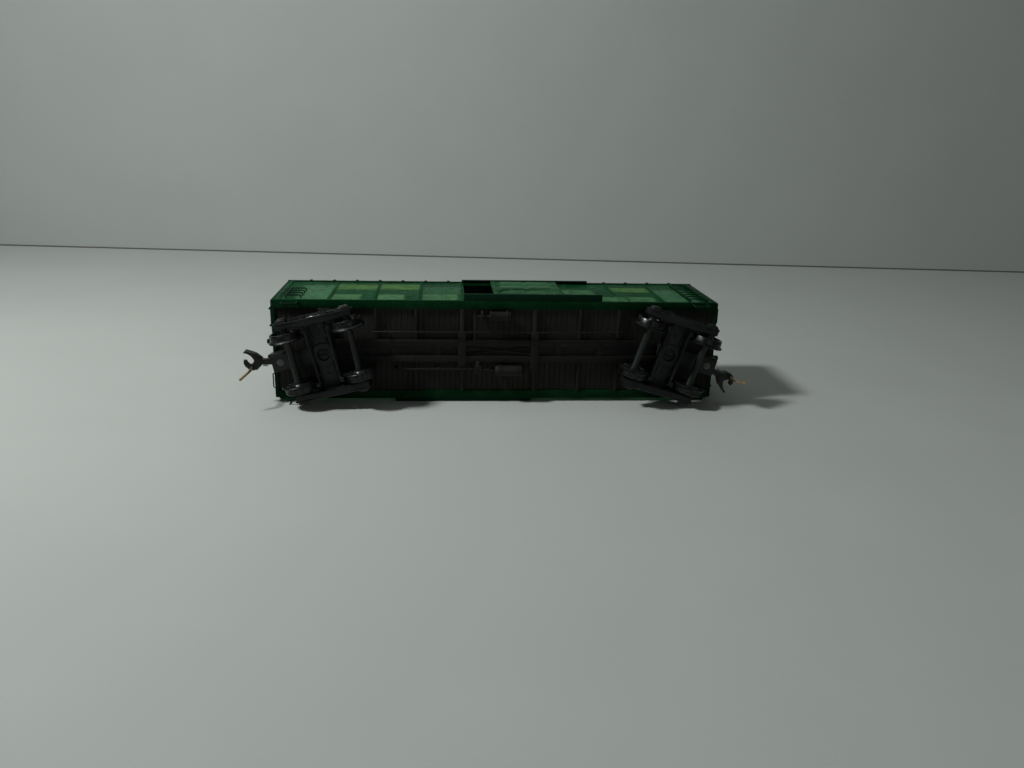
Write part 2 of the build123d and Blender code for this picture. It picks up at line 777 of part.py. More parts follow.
with BuildPart() as coupler:
    with BuildSketch(Plane.XY.offset(shank_bottom_z)):
        Circle(1.6)
        with Locations((3.6, 0)):
            Rectangle(7.2, 1.7)
        Circle(pivot_radius + running_gap, mode=Mode.SUBTRACT)
    extrude(amount=shank_thickness)
    with BuildSketch(Plane.XY.offset(head_bottom_z)) as head_outline:
        with BuildLine():
            Line((6.0, -0.9), (7.6, -2.5))
            Line((7.6, -2.5), (9.2, -2.7))
            Line((9.2, -2.7), (9.9, -1.4))
            Line((9.9, -1.4), (8.4, 0.4))
            RadiusArc((8.4, 0.4), (11.8, 3.1), 3.6)
            Line((11.8, 3.1), (11.2, 3.7))
            Line((11.2, 3.7), (8.0, 2.6))
            Line((8.0, 2.6), (6.0, 0.9))
            Line((6.0, 0.9), (6.0, -0.9))
        make_face()
    extrude(amount=head_top_z - head_bottom_z)
    with BuildSketch(Plane.XY.offset(head_bottom_z + lug_thickness)):
        with Locations((knuckle_x, knuckle_y)):
            Circle(1.75)
    extrude(amount=head_top_z - head_bottom_z - 2 * lug_thickness, mode=Mode.SUBTRACT)
    with BuildSketch(Plane.XY.offset(head_bottom_z)):
        with Locations((knuckle_x, knuckle_y)):
            Circle(pin_radius + running_gap)
    extrude(amount=head_top_z - head_bottom_z, mode=Mode.SUBTRACT)

knuckle_gap = 0.12
with BuildPart() as knuckle:
    with BuildSketch(Plane.XY.offset(head_bottom_z + lug_thickness + knuckle_gap)):
        with BuildLine():
            Line((8.3, -2.2), (9.0, -2.9))
            RadiusArc((9.0, -2.9), (12.0, -0.6), -3.2)
            Line((12.0, -0.6), (11.9, 0.5))
            Line((11.9, 0.5), (11.0, 0.4))
            RadiusArc((11.0, 0.4), (9.6, -1.0), 1.6)
            Line((9.6, -1.0), (8.7, -1.0))
            Line((8.7, -1.0), (8.3, -2.2))
        make_face()
    extrude(amount=head_top_z - head_bottom_z - 2 * lug_thickness - 2 * knuckle_gap)
    with BuildSketch(Plane.XY.offset(head_bottom_z - 0.3)):
        with Locations((knuckle_x, knuckle_y)):
            Circle(pin_radius)
    extrude(amount=head_top_z - head_bottom_z + 0.3)

pin_drop_z = 3.6
trip_pin_radius = 0.42
pin_foot = Vector(2.6, -2.0, -2.4)
with BuildPart() as trip_pin:
    pin_top = Vector(knuckle_x, knuckle_y, head_bottom_z - 0.3)
    bend = Vector(knuckle_x, knuckle_y, pin_drop_z)
    with BuildLine() as pin_path:
        FilletPolyline(pin_top, bend, bend + pin_foot, radius=2.2)
    with BuildSketch(Plane(origin=pin_top, z_dir=(0, 0, -1))):
        Circle(trip_pin_radius)
    sweep(path=pin_path.line)

with BuildPart() as knuckle_spring:
    with BuildSketch(Plane(origin=(4.2, -1.25, 9.45), z_dir=(1, 0, 0))):
        Circle(0.4)
    extrude(amount=1.8)

# ---- trucks, wheelsets and couplers in place -----------------------------------------------
screws = []
for spot, way in spots.items():
    straight = 0 if way > 0 else 180
    heading = straight + truck_angle[spot]
    truck_plane = turned(way * truck_x, 0, heading)
    save(place(truck_bolster.part, truck_plane), f"truck_bolster_{spot}")
    save(place(side_frame.part, truck_plane), f"side_frame_{spot}_near")
    opposite = turned(way * truck_x, 0, heading + 180)
    save(place(side_frame.part, opposite), f"side_frame_{spot}_far")
    save(place(springs.part, truck_plane), f"truck_springs_{spot}")
    save(place(brake_beams.part, truck_plane), f"brake_beams_{spot}")
    save(place(coupler_box.part, truck_plane), f"coupler_box_{spot}")
    save(place(coupler_cover.part, truck_plane), f"coupler_cover_{spot}")
    screws.append(place(truck_screw.part, truck_plane))
    for order, axle_way in (("outer", 1), ("inner", -1)):
        centre = truck_plane.from_local_coords((axle_way * axle_x, 0, wheel_z))
        axle_plane = Plane(origin=centre, x_dir=truck_plane.x_dir, z_dir=(0, 0, 1))
        save(place(wheels.part, axle_plane), f"wheels_{spot}_{order}")
        save(place(axle.part, axle_plane), f"axle_{spot}_{order}")
    pivot = truck_plane.from_local_coords((coupler_pivot_x, 0, 0))
    coupler_plane = turned(pivot.X, pivot.Y, heading + coupler_angle[spot])
    save(place(coupler.part, coupler_plane), f"coupler_{spot}")
    save(place(knuckle.part, coupler_plane), f"knuckle_{spot}")
    save(place(trip_pin.part, coupler_plane), f"trip_pin_{spot}")
    save(place(knuckle_spring.part, coupler_plane), f"knuckle_spring_{spot}")
save(Compound(screws), "truck_screws")
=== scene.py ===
import bpy
import json
import math
from mathutils import Matrix, Vector


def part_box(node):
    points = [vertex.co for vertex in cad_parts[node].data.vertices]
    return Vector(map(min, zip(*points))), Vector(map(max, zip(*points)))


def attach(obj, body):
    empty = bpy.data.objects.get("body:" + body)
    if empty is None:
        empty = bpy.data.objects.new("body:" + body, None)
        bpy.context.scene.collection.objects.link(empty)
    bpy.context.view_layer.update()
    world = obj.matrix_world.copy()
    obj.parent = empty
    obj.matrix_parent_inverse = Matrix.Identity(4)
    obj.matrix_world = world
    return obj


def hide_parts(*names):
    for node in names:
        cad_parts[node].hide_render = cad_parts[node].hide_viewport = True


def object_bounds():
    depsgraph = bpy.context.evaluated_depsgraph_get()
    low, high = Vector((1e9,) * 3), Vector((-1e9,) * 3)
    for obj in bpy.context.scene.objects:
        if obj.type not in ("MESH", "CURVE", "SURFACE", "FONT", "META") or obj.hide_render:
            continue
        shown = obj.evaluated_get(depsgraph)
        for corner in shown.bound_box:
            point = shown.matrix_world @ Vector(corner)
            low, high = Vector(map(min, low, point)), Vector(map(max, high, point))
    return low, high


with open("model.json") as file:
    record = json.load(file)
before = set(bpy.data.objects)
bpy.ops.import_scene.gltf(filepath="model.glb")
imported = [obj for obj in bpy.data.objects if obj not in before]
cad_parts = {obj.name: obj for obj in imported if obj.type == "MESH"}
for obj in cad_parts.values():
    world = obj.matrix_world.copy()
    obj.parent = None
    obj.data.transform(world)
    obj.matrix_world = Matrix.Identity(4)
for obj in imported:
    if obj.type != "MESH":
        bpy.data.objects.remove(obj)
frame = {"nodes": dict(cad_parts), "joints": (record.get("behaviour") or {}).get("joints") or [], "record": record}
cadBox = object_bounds()
nodes = frame["nodes"]
joints = {joint["name"]: joint for joint in frame["joints"]}
members = frame["record"]["behaviour"]["bodies"]
bodyOf = {node: body for body, group in members.items() for node in group}
slotOf = {part["node"]: part["material_slot"] for part in frame["record"]["subparts"]}
bpy.ops.object.select_all(action="DESELECT")

mm = 0.001  # lengths below are millimetres, as a modeller works
seamXs = (-55.0, -40.4, -25.8, 25.8, 40.4, 55.0)  # where the side sheets are joined
sideY = 16.3  # outer face of a side sheet
down, up, outward = (0, 0, -1), (0, 0, 1), (0, -1, 0)  # outward from the right side


class Paint:
    # a material's node tree while it is built up

    def __init__(self, name, roughness, metallic=0.0, specular=0.5):
        self.material = bpy.data.materials.new(name)
        self.material.use_nodes = True
        self.tree = self.material.node_tree
        self.shader = self.tree.nodes["Principled BSDF"]
        self.shader.inputs["Roughness"].default_value = roughness
        self.shader.inputs["Metallic"].default_value = metallic
        self.shader.inputs["Specular IOR Level"].default_value = specular
        self.place = self.tree.nodes.new("ShaderNodeTexCoord").outputs["Object"]

    def link(self, source, target):
        if hasattr(source, "links"):
            self.tree.links.new(source, target)
        else:
            target.default_value = source

    def noise(self, size, detail=4.0, stretch=(1, 1, 1), rough=0.6):  # features about size across
        mapping = self.tree.nodes.new("ShaderNodeMapping")
        mapping.inputs["Scale"].default_value = stretch
        self.link(self.place, mapping.inputs["Vector"])
        node = self.tree.nodes.new("ShaderNodeTexNoise")
        node.inputs["Scale"].default_value = 1 / (size * mm)
        node.inputs["Detail"].default_value = detail
        node.inputs["Roughness"].default_value = rough
        self.link(mapping.outputs["Vector"], node.inputs["Vector"])
        return node.outputs["Fac"]

    def ramp(self, source, low, high, start=0.0, end=1.0):
        node = self.tree.nodes.new("ShaderNodeMapRange")
        node.interpolation_type = "SMOOTHSTEP"
        self.link(source, node.inputs["Value"])
        node.inputs["From Min"].default_value = low
        node.inputs["From Max"].default_value = high
        node.inputs["To Min"].default_value = start
        node.inputs["To Max"].default_value = end
        return node.outputs["Result"]

    def sum(self, operation, first, second=0.0):
        node = self.tree.nodes.new("ShaderNodeMath")
        node.operation = operation
        self.link(first, node.inputs[0])
        self.link(second, node.inputs[1])
        return node.outputs[0]

    def times(self, first, second):
        return self.sum("MULTIPLY", first, second)

    def mix(self, share, first, second, blend="MIX"):
        node = self.tree.nodes.new("ShaderNodeMix")
        node.data_type = "RGBA"
        node.blend_type = blend
        self.link(share, node.inputs["Factor"])
        self.link(first if hasattr(first, "links") else (*first, 1), node.inputs[6])
        self.link(second if hasattr(second, "links") else (*second, 1), node.inputs[7])
        return node.outputs[2]

    def axes(self):
        node = self.tree.nodes.new("ShaderNodeSeparateXYZ")
        self.link(self.place, node.inputs[0])
        return [self.times(axis, 1 / mm) for axis in node.outputs]  # in millimetres

    def between(self, value, low, high, soft):
        rise = self.ramp(value, low - soft, low + soft)
        fall = self.ramp(value, high - soft, high + soft, 1.0, 0.0)
        return self.times(rise, fall)

    def lines(self, value, pitch, width):  # 1 on thin lines every pitch, else 0
        offset = self.sum("PINGPONG", value, pitch / 2)
        return self.ramp(offset, width / 2, width, 1.0, 0.0)

    def bump(self, height, depth):  # relief depth millimetres deep
        node = self.tree.nodes.new("ShaderNodeBump")
        node.inputs["Distance"].default_value = depth * mm
        self.link(height, node.inputs["Height"])
        self.link(node.outputs["Normal"], self.shader.inputs["Normal"])

    def finish(self, colour, roughness=None, metallic=None):
        self.link(colour, self.shader.inputs["Base Color"])
        if roughness is not None:
            self.link(roughness, self.shader.inputs["Roughness"])
        if metallic is not None:
            self.link(metallic, self.shader.inputs["Metallic"])
        return self.material


def shaded(rgb, share):
    return tuple(value * share for value in rgb)


# moulded or painted parts: cloudy tone, dust in patches, fine scratches and a grain
def wornSurface(name, base, dusty, roughness, dust=0.3, metallic=0.0, grain=0.02, specular=0.5):
    paint = Paint(name, roughness, metallic, specular)
    cloud = paint.ramp(paint.noise(6.0, 5), 0.35, 0.7)
    speck = paint.ramp(paint.noise(0.5, 3), 0.56, 0.74)
    scratch = paint.ramp(paint.noise(0.9, 2, (0.12, 1, 1.4)), 0.66, 0.72)
    tone = paint.mix(cloud, base, shaded(base, 0.68))
    share = paint.times(paint.sum("ADD", cloud, speck), dust * 0.5)
    colour = paint.mix(share, tone, dusty)
    colour = paint.mix(paint.times(scratch, 0.35), colour, shaded(dusty, 1.3))
    shine = paint.ramp(paint.noise(1.6, 4), 0.3, 0.75, roughness - 0.1, roughness + 0.14)
    shine = paint.sum("SUBTRACT", shine, paint.times(scratch, 0.1))
    paint.bump(paint.sum("ADD", paint.noise(0.22, 3), paint.times(scratch, -0.6)), grain)
    return paint.finish(colour, shine)


livery = {
    "base": (0.006, 0.060, 0.019),
    "mint": (0.055, 0.165, 0.078),
    "lime": (0.070, 0.180, 0.045),
    "pale": (0.070, 0.185, 0.080),
    "dark": (0.002, 0.026, 0.008),
    "soft": 0.55,  # how far a panel's edge fades
    "waver": 1.6,
    # tone, from x, to x, from z, to z, how solid: read along the side from its left
    "panels": (
        ("mint", -66.0, -55.4, 13.5, 37.5, 0.9),
        ("dark", -72.0, -67.2, 20.5, 31.0, 0.9),
        ("lime", -54.6, -40.9, 30.6, 39.4, 0.9),
        ("pale", -54.4, -45.2, 12.8, 22.0, 0.9),
        ("lime", -40.0, -26.2, 31.0, 40.2, 0.95),
        ("pale", -39.5, -31.0, 13.2, 22.4, 1.0),
        ("mint", -25.2, -12.4, 23.6, 36.2, 0.4),
        ("pale", -25.0, -13.4, 13.4, 23.2, 0.9),
        ("pale", 22.6, 34.0, 23.6, 32.6, 0.75),
        ("pale", 32.2, 43.4, 12.9, 20.8, 0.8),
        ("lime", 40.8, 54.0, 29.9, 37.3, 0.95),
        ("pale", 44.2, 53.0, 12.9, 21.2, 0.75),
        ("mint", 55.6, 67.2, 12.6, 34.2, 0.75),
        ("dark", 67.8, 80.0, 0.0, 50.0, 1.0),
        ("dark", -80.0, 80.0, 0.0, 12.5, 1.0),
        ("dark", -80.0, 80.0, 42.6, 50.0, 0.7),
    ),
}


def sidePaint(name, setup, panels):
    paint = Paint(name, 0.4, 0, 0.03)
    x, y, z = paint.axes()
    # the left side is the right one turned round
    along = paint.times(x, paint.times(paint.sum("SIGN", y), -1))
    drift = paint.sum("SUBTRACT", paint.noise(3.2, 4), 0.5)
    along = paint.sum("ADD", along, paint.times(drift, setup["waver"]))
    sway = paint.sum("SUBTRACT", paint.noise(2.4, 4), 0.5)
    height = paint.sum("ADD", z, paint.times(sway, setup["waver"]))
    cloud = paint.ramp(paint.noise(7, 5), 0.35, 0.7)
    colour = paint.mix(cloud, setup["base"], shaded(setup["base"], 0.66))
    blotch = paint.ramp(paint.noise(2.6, 5, (0.7, 1, 1)), 0.36, 0.62, 0.55, 1.0)
    for tone, left, right, bottom, top, solid in panels:
        wide = paint.between(along, left, right, setup["soft"])
        high = paint.between(height, bottom, top, setup["soft"])
        share = paint.times(paint.times(wide, high), paint.times(blotch, solid))
        colour = paint.mix(share, colour, setup[tone])
    edge = paint.ramp(paint.noise(0.8, 5), 0.6, 0.72)
    colour = paint.mix(paint.times(edge, 0.3), colour, shaded(setup["pale"], 0.7))
    stain = paint.ramp(paint.noise(1.3, 4, (1, 1, 0.1)), 0.55, 0.78)
    colour = paint.mix(paint.times(stain, 0.35), colour, setup["dark"])
    shine = paint.ramp(paint.noise(1.8, 4), 0.3, 0.75, 0.32, 0.56)
    waves, grain = paint.times(paint.noise(9, 2), 1.4), paint.times(paint.noise(0.25, 3), 0.4)
    paint.bump(paint.sum("ADD", waves, grain), 0.045)
    return paint.finish(colour, shine)


# planks across the car, with dark joints and grain
def plankPaint(name, base, dusty, pitch, along):
    paint = Paint(name, 0.6, 0, 0.2)
    axes = paint.axes()
    joint = paint.lines(axes[along], pitch, 0.14)
    stretch = (1, 0.08, 1) if along == 0 else (0.08, 1, 1)
    grain = paint.noise(0.5, 4, stretch)
    colour = paint.mix(paint.ramp(grain, 0.35, 0.68), base, dusty)
    colour = paint.mix(paint.ramp(paint.noise(11, 4), 0.4, 0.65, 0, 0.4), colour, shaded(base, 0.6))
    colour = paint.mix(paint.times(joint, 0.75), colour, shaded(base, 0.3))
    height = paint.sum("SUBTRACT", paint.times(grain, 0.3), joint)
    paint.bump(height, 0.16)
    return paint.finish(colour, paint.ramp(grain, 0.3, 0.7, 0.5, 0.72))


wheelTones = {
    "castDark": (0.005, 0.006, 0.006),
    "cast": (0.014, 0.016, 0.015),
    "steel": (0.034, 0.038, 0.036),
    "steelDark": (0.010, 0.011, 0.010),
    "wornFrom": 4.45,  # radius where the casting's black gives way to bare steel
    "wornTo": 4.75,
}


# dark casting whose rim and tread are worn bright, on the axle line through point
def wheelPaint(name, point, direction):
    paint = Paint(name, 0.4, 0, 0.3)
    away = paint.tree.nodes.new("ShaderNodeVectorMath")
    away.operation = "SUBTRACT"
    paint.link(paint.place, away.inputs[0])
    away.inputs[1].default_value = point
    cross = paint.tree.nodes.new("ShaderNodeVectorMath")
    cross.operation = "CROSS_PRODUCT"
    paint.link(away.outputs[0], cross.inputs[0])
    cross.inputs[1].default_value = direction
    size = paint.tree.nodes.new("ShaderNodeVectorMath")
    size.operation = "LENGTH"
    paint.link(cross.outputs[0], size.inputs[0])
    uneven = paint.times(paint.noise(1.2, 4), 0.3)
    radius = paint.sum("ADD", paint.times(size.outputs["Value"], 1 / mm), uneven)
    worn = paint.ramp(radius, wheelTones["wornFrom"], wheelTones["wornTo"])
    cloud = paint.ramp(paint.noise(2.2, 5), 0.35, 0.7)
    cast = paint.mix(cloud, wheelTones["castDark"], wheelTones["cast"])
    patch = paint.ramp(paint.noise(0.7, 4), 0.4, 0.7)
    steel = paint.mix(patch, wheelTones["steel"], wheelTones["steelDark"])
    paint.bump(paint.noise(0.2, 3), 0.02)
    shine = paint.ramp(paint.noise(1.1, 4), 0.3, 0.7, 0.24, 0.46)
    return paint.finish(paint.mix(worn, cast, steel), shine, paint.times(worn, 0.9))


# a metal that is rubbed brighter in places
def metalPaint(name, base, tarnish, roughness, metallic=0.9, share=0.5):
    paint = Paint(name, roughness)
    spot = paint.ramp(paint.noise(0.8, 5), 0.4, 0.66)
    colour = paint.mix(paint.times(spot, share), base, tarnish)
    shine = paint.ramp(paint.noise(0.4, 4), 0.3, 0.7, roughness - 0.08, roughness + 0.16)
    paint.bump(paint.noise(0.16, 3), 0.014)
    return paint.finish(colour, shine, paint.sum("SUBTRACT", metallic, paint.times(spot, metallic * 0.4)))


doorPanels = (
    ("pale", -60, 60, 14.2, 41.8, 0.2),
    ("mint", -20.5, -2.6, 30.5, 40.5, 0.7),
    ("mint", -20.5, -2.6, 14.5, 24.0, 0.45),
    ("dark", -16.5, -7.0, 25.5, 28.5, 0.6),
)
doorPanelShift = {"right": 22.0, "left": 11.4}
trimBase = (0.003, 0.022, 0.010)
trimDust = (0.012, 0.050, 0.024)
frameBase = (0.010, 0.011, 0.009)
frameDust = (0.035, 0.036, 0.028)
truckBase = (0.004, 0.006, 0.006)
truckDust = (0.022, 0.026, 0.024)
couplerBase = (0.008, 0.010, 0.011)
couplerDust = (0.050, 0.045, 0.035)


def shiftedPanels(panels, shift):
    return [(tone, left + shift, right + shift, *rest) for tone, left, right, *rest in panels]


finishes = {
    "side": sidePaint("sideGreen", livery, livery["panels"]),
    "door_right": sidePaint("doorGreen", livery, shiftedPanels(doorPanels, doorPanelShift["right"])),
    "door_left": sidePaint("doorGreenClosed", livery, shiftedPanels(doorPanels, doorPanelShift["left"])),
    "dark_green": wornSurface("trimGreen", trimBase, trimDust, 0.45, 0.3, specular=0.04),
    "underframe_brown": wornSurface("underframe", frameBase, frameDust, 0.62, 0.45, specular=0.2),
    "floor": plankPaint("floorBoards", (0.009, 0.010, 0.007), (0.020, 0.021, 0.015), 1.75, 0),
    "board": plankPaint("walkBoards", (0.012, 0.06, 0.028), (0.03, 0.09, 0.045), 500, 1),
    "truck_black": wornSurface("truckBlack", truckBase, truckDust, 0.42, 0.3, 0, 0.03, 0.3),
    "blackened_steel": metalPaint("axleSteel", (0.011, 0.017, 0.014), (0.006, 0.007, 0.006), 0.48, 0.4),
    "bright_steel": metalPaint("springSteel", (0.20, 0.205, 0.195), (0.06, 0.05, 0.04), 0.34, 0.9),
    "bronze_wire": metalPaint("bronzeWire", (0.42, 0.31, 0.16), (0.16, 0.11, 0.05), 0.32, 0.95, 0.4),
    "coupler_black": wornSurface("couplerBlack", couplerBase, couplerDust, 0.38, 0.3, 0.2, specular=0.35),
    "glint": metalPaint("boltSteel", (0.10, 0.11, 0.10), (0.03, 0.03, 0.025), 0.3, 0.8, 0.3),
    "recess": wornSurface("screwBlack", (0.004, 0.005, 0.005), (0.02, 0.02, 0.018), 0.5, 0.2, 0.4),
}
for node, piece in nodes.items():
    piece.data.materials.clear()
    piece.data.materials.append(finishes.get(slotOf[node], finishes["side"]))
print("materials")


def select(*pieces):
    bpy.ops.object.select_all(action="DESELECT")
    for piece in pieces:
        piece.select_set(True)
    bpy.context.view_layer.objects.active = pieces[0]


# the object's place goes into its mesh
def settle(piece, turn=None):
    piece.data.transform((turn or Matrix()) @ piece.matrix_basis)
    piece.matrix_basis = Matrix()
    return piece


def block(size, place, bevel=0.08, segments=1):
    centre = Vector(place) * mm
    bpy.ops.mesh.primitive_cube_add(size=mm, location=centre)
    piece = bpy.context.active_object
    bpy.ops.object.mode_set(mode="EDIT")
    bpy.ops.transform.resize(value=size, center_override=centre)
    if bevel:
        bpy.ops.mesh.bevel(offset=bevel * mm, segments=segments)
    bpy.ops.object.mode_set(mode="OBJECT")
    return settle(piece)


def rod(start, end, radius, sides=12, bevel=0.06):
    start, end = Vector(start) * mm, Vector(end) * mm
    run = end - start
    turn = run.to_track_quat("Z", "Y").to_euler()
    middle = (start + end) / 2
    bpy.ops.mesh.primitive_cylinder_add(
        vertices=sides, radius=radius * mm, depth=run.length, location=middle, rotation=turn)
    piece = bpy.context.active_object
    bpy.ops.object.mode_set(mode="EDIT")
    bpy.ops.mesh.select_all(action="DESELECT")
    bpy.ops.mesh.select_face_by_sides(number=sides, type="EQUAL", extend=False)
    bpy.ops.mesh.region_to_loop()
    bpy.ops.mesh.bevel(offset=bevel * mm, segments=2)
    bpy.ops.object.mode_set(mode="OBJECT")
    return settle(piece)


# a profile of (radius, height) points, spun round axis from base
def lathe(profile, base, axis, steps=24):
    bpy.ops.mesh.primitive_plane_add(size=mm, location=(0, 0, 0))
    piece = bpy.context.active_object
    bpy.ops.object.mode_set(mode="EDIT")
    bpy.ops.mesh.merge(type="CENTER")
    here = Vector((0, 0, 0))
    for count, (radius, height) in enumerate(profile):
        there = Vector((radius, 0, height)) * mm
        if count == 0:
            bpy.ops.transform.translate(value=there - here)
        else:
            bpy.ops.mesh.extrude_region_move(TRANSFORM_OT_translate={"value": there - here})
        here = there
    bpy.ops.mesh.select_all(action="SELECT")
    bpy.ops.mesh.spin(steps=steps, angle=math.tau, center=(0, 0, 0), axis=(0, 0, 1))
    bpy.ops.mesh.select_all(action="SELECT")
    bpy.ops.mesh.remove_doubles(threshold=0.000002)
    bpy.ops.mesh.normals_make_consistent(inside=False)
    bpy.ops.object.mode_set(mode="OBJECT")
    turn = Vector(axis).to_track_quat("Z", "Y").to_matrix().to_4x4()
    return settle(piece, Matrix.Translation(Vector(base) * mm) @ turn)


def applyModifiers(piece):
    select(piece)
    for modifier in list(piece.modifiers):
        bpy.ops.object.modifier_apply(modifier=modifier.name)
    return piece


def repeat(piece, *rows):  # each row is a count and a step
    for count, step in rows:
        array = piece.modifiers.new("row", "ARRAY")
        array.count = count
        array.use_relative_offset = False
        array.use_constant_offset = True
        array.constant_offset_displace = Vector(step) * mm
    return applyModifiers(piece)


def copyOf(piece, turn=None, shift=(0, 0, 0)):
    twin = bpy.data.objects.new(piece.name, piece.data.copy())
    bpy.context.scene.collection.objects.link(twin)
    twin.data.transform(Matrix.Translation(Vector(shift) * mm) @ (turn or Matrix()))
    return twin


def coat(finish, *pieces):
    for piece in pieces:
        piece.data.materials.clear()
        piece.data.materials.append(finishes[finish])
    return pieces


rivet = {"radius": 0.17, "height": 0.12, "sunk": 0.05, "sides": 6}


def rivets(start, facing, *rows, scale=1.0):
    radius, height = rivet["radius"] * scale, rivet["height"] * scale
    sunk = rivet["sunk"]
    profile = ((0, -sunk), (radius, -sunk), (radius * 0.8, height * 0.65), (0, height))
    return repeat(lathe(profile, start, facing, rivet["sides"]), *rows)


def bolt(place, facing, radius=0.4, height=0.35):
    wide = radius * 1.5
    washer = lathe(((0, -0.1), (wide, -0.1), (wide, 0.1), (0, 0.1)), place, facing, 16)
    hexagon = ((0, 0), (radius, 0), (radius, height * 0.8), (radius * 0.8, height), (0, height))
    head = lathe(hexagon, place, facing, 6)
    select(washer, head)
    bpy.ops.object.join()
    return washer


# a merged copy of a machined part, with its edges broken as on a moulding
def moulded(node, edge=0.08, segments=2):
    piece = copyOf(nodes[node])
    select(piece)
    bpy.ops.object.mode_set(mode="EDIT")
    bpy.ops.mesh.select_all(action="SELECT")
    bpy.ops.mesh.remove_doubles(threshold=0.000002)
    bpy.ops.mesh.dissolve_limited(angle_limit=math.radians(0.5))
    bpy.ops.object.mode_set(mode="OBJECT")
    if edge:
        bevel = piece.modifiers.new("edges", "BEVEL")
        bevel.width = edge * mm
        bevel.segments = segments
        bevel.limit_method = "ANGLE"
        bevel.angle_limit = math.radians(32)
        applyModifiers(piece)
    return piece


# joins parts into one smooth-shaded piece that rides the node's body and takes its place
def assembled(node, name, finish, parts):
    for part in parts:
        if not part.data.materials:
            coat(finish, part)
    select(*parts)
    if len(parts) > 1:
        bpy.ops.object.join()
    piece = bpy.context.view_layer.objects.active
    bpy.ops.object.shade_smooth_by_angle(angle=math.radians(38))
    piece.name = name
    piece.data.name = name
    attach(piece, bodyOf[node])
    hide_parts(node)
    return piece


# a node's copy with its details
def complete(node, name, finish=None, edge=0.08, details=()):
    finish = finish or slotOf[node]
    piece = moulded(node, edge)
    coat(finish, piece)
    return assembled(node, name, finish, [piece, *details])


halfTurn = Matrix.Rotation(math.pi, 4, "Z")
sideTurns = {"right": Matrix(), "left": halfTurn}
endTurns = {"a": halfTurn, "b": Matrix()}

sideSetup = {
    "battenDepth": 0.2,
    "stripDepth": 0.25,
    "rivetPitch": 0.95,
    "rowInset": 0.3,
    "rowBottom": 13.8,
    "cornerX": 71.1,
    "doorPostX": 11.6,
    "stiffenerXs": (-63.9, -48.1, -33.1, -18.6, 18.6, 33.1, 48.1, 63.9),  # one in each panel
}


def sideDetails(setup):
    pitch, inset, bottom = setup["rivetPitch"], setup["rowInset"], setup["rowBottom"]
    battenFace = -sideY - setup["battenDepth"]
    stripFace = -sideY - setup["stripDepth"]
    rows = []
    for x in seamXs:
        pair = (2, (2 * inset, 0, 0))
        rows.append(rivets((x - inset, battenFace, bottom), outward, pair, (31, (0, 0, pitch))))
    rows.append(rivets((-70.6, stripFace, 12.2), outward, (150, (pitch, 0, 0))))
    rows.append(rivets((-70.6, stripFace, 44.15), outward, (150, (pitch, 0, 0)), scale=0.8))
    for x in (-setup["cornerX"], setup["cornerX"]):
        rows.append(rivets((x, stripFace, bottom - 0.2), outward, (31, (0, 0, pitch))))
    for x in (-setup["doorPostX"], setup["doorPostX"]):
        rows.append(rivets((x, stripFace, bottom), outward, (30, (0, 0, pitch))))
    for x in setup["stiffenerXs"]:
        rows.append(rivets((x, -sideY, bottom + 0.6), outward, (29, (0, 0, pitch)), scale=0.7))
    return rows


for side, turn in sideTurns.items():
    extras = [settle(detail, turn) for detail in sideDetails(sideSetup)]
    complete(f"side_wall_{side}", f"sideWall.{side}", "side", 0.1, extras)
print("body sides")

doorSetup = {
    "width": 23.6,
    "bottom": 12.4,
    "top": 43.1,
    "face": 1.0,
    "rollerRadius": 0.85,
    "middle": {"right": 10.6, "left": 0},  # the right door stands open
    "ledgeReach": {"right": 2.5, "left": 1.4},
    "ledgeZ": 11.95,
    "hoodReach": 1.3,
    "hoodZ": 43.6,
    "trackStart": -10.2,
    "trackPitch": 2,
}


def doorDetails(setup, middle):
    face = -sideY - setup["face"]
    left, right = middle - setup["width"] / 2, middle + setup["width"] / 2
    extras = []
    for x in (left + 0.35, right - 0.35):
        extras.append(rivets((x, face, setup["bottom"] + 0.8), outward, (30, (0, 0, 1.0)), scale=0.9))
    for z in (setup["bottom"] + 0.5, setup["top"] - 0.75):
        extras.append(rivets((left + 1.2, face, z), outward, (22, (1.01, 0, 0)), scale=0.9))
    quarter = (setup["top"] - setup["bottom"]) / 4
    for count in range(4):  # a shallow pressing in each panel of the door
        z = setup["bottom"] + (count + 0.5) * quarter
        for x in (middle - 4.6, middle + 4.6):
            extras.append(block((7.6, 0.22, quarter - 2.6), (x, face - 0.05, z), 0.1, 2))
    for x in (left + 2.4, right - 2.4):
        radius = setup["rollerRadius"]
        wheel = ((0, -0.25), (radius, -0.25), (radius, -0.1), (radius * 0.8, 0), (0.3, 0.05), (0, 0.2))
        extras.append(lathe(wheel, (x, face - 0.15, setup["bottom"] + 1.1), outward, 20))
        extras.append(block((1.5, 0.2, 2.4), (x, face - 0.1, setup["bottom"] + 1.8), 0.06))
    handle = rod((left + 1.5, face - 0.22, 24.4), (left + 5.4, face - 0.22, 25.6), 0.18, 10)
    extras += [handle, block((0.9, 0.4, 0.9), (left + 5.2, face - 0.1, 25.5), 0.1, 2)]
    return extras


def trackDetails(setup, side):
    start, pitch = setup["trackStart"], setup["trackPitch"]
    ledgeY = -sideY - setup["ledgeReach"][side]
    hoodY = -sideY - setup["hoodReach"]
    row = (23, (pitch, 0, 0))
    return [
        rivets((start, ledgeY + 0.1, setup["ledgeZ"]), outward, row, scale=0.9),
        rivets((start, hoodY + 0.1, setup["hoodZ"]), outward, row, scale=0.9),
        rivets((start, (ledgeY - sideY) / 2, 11.6), down, (12, (2 * pitch, 0, 0)), scale=1.1),
    ]


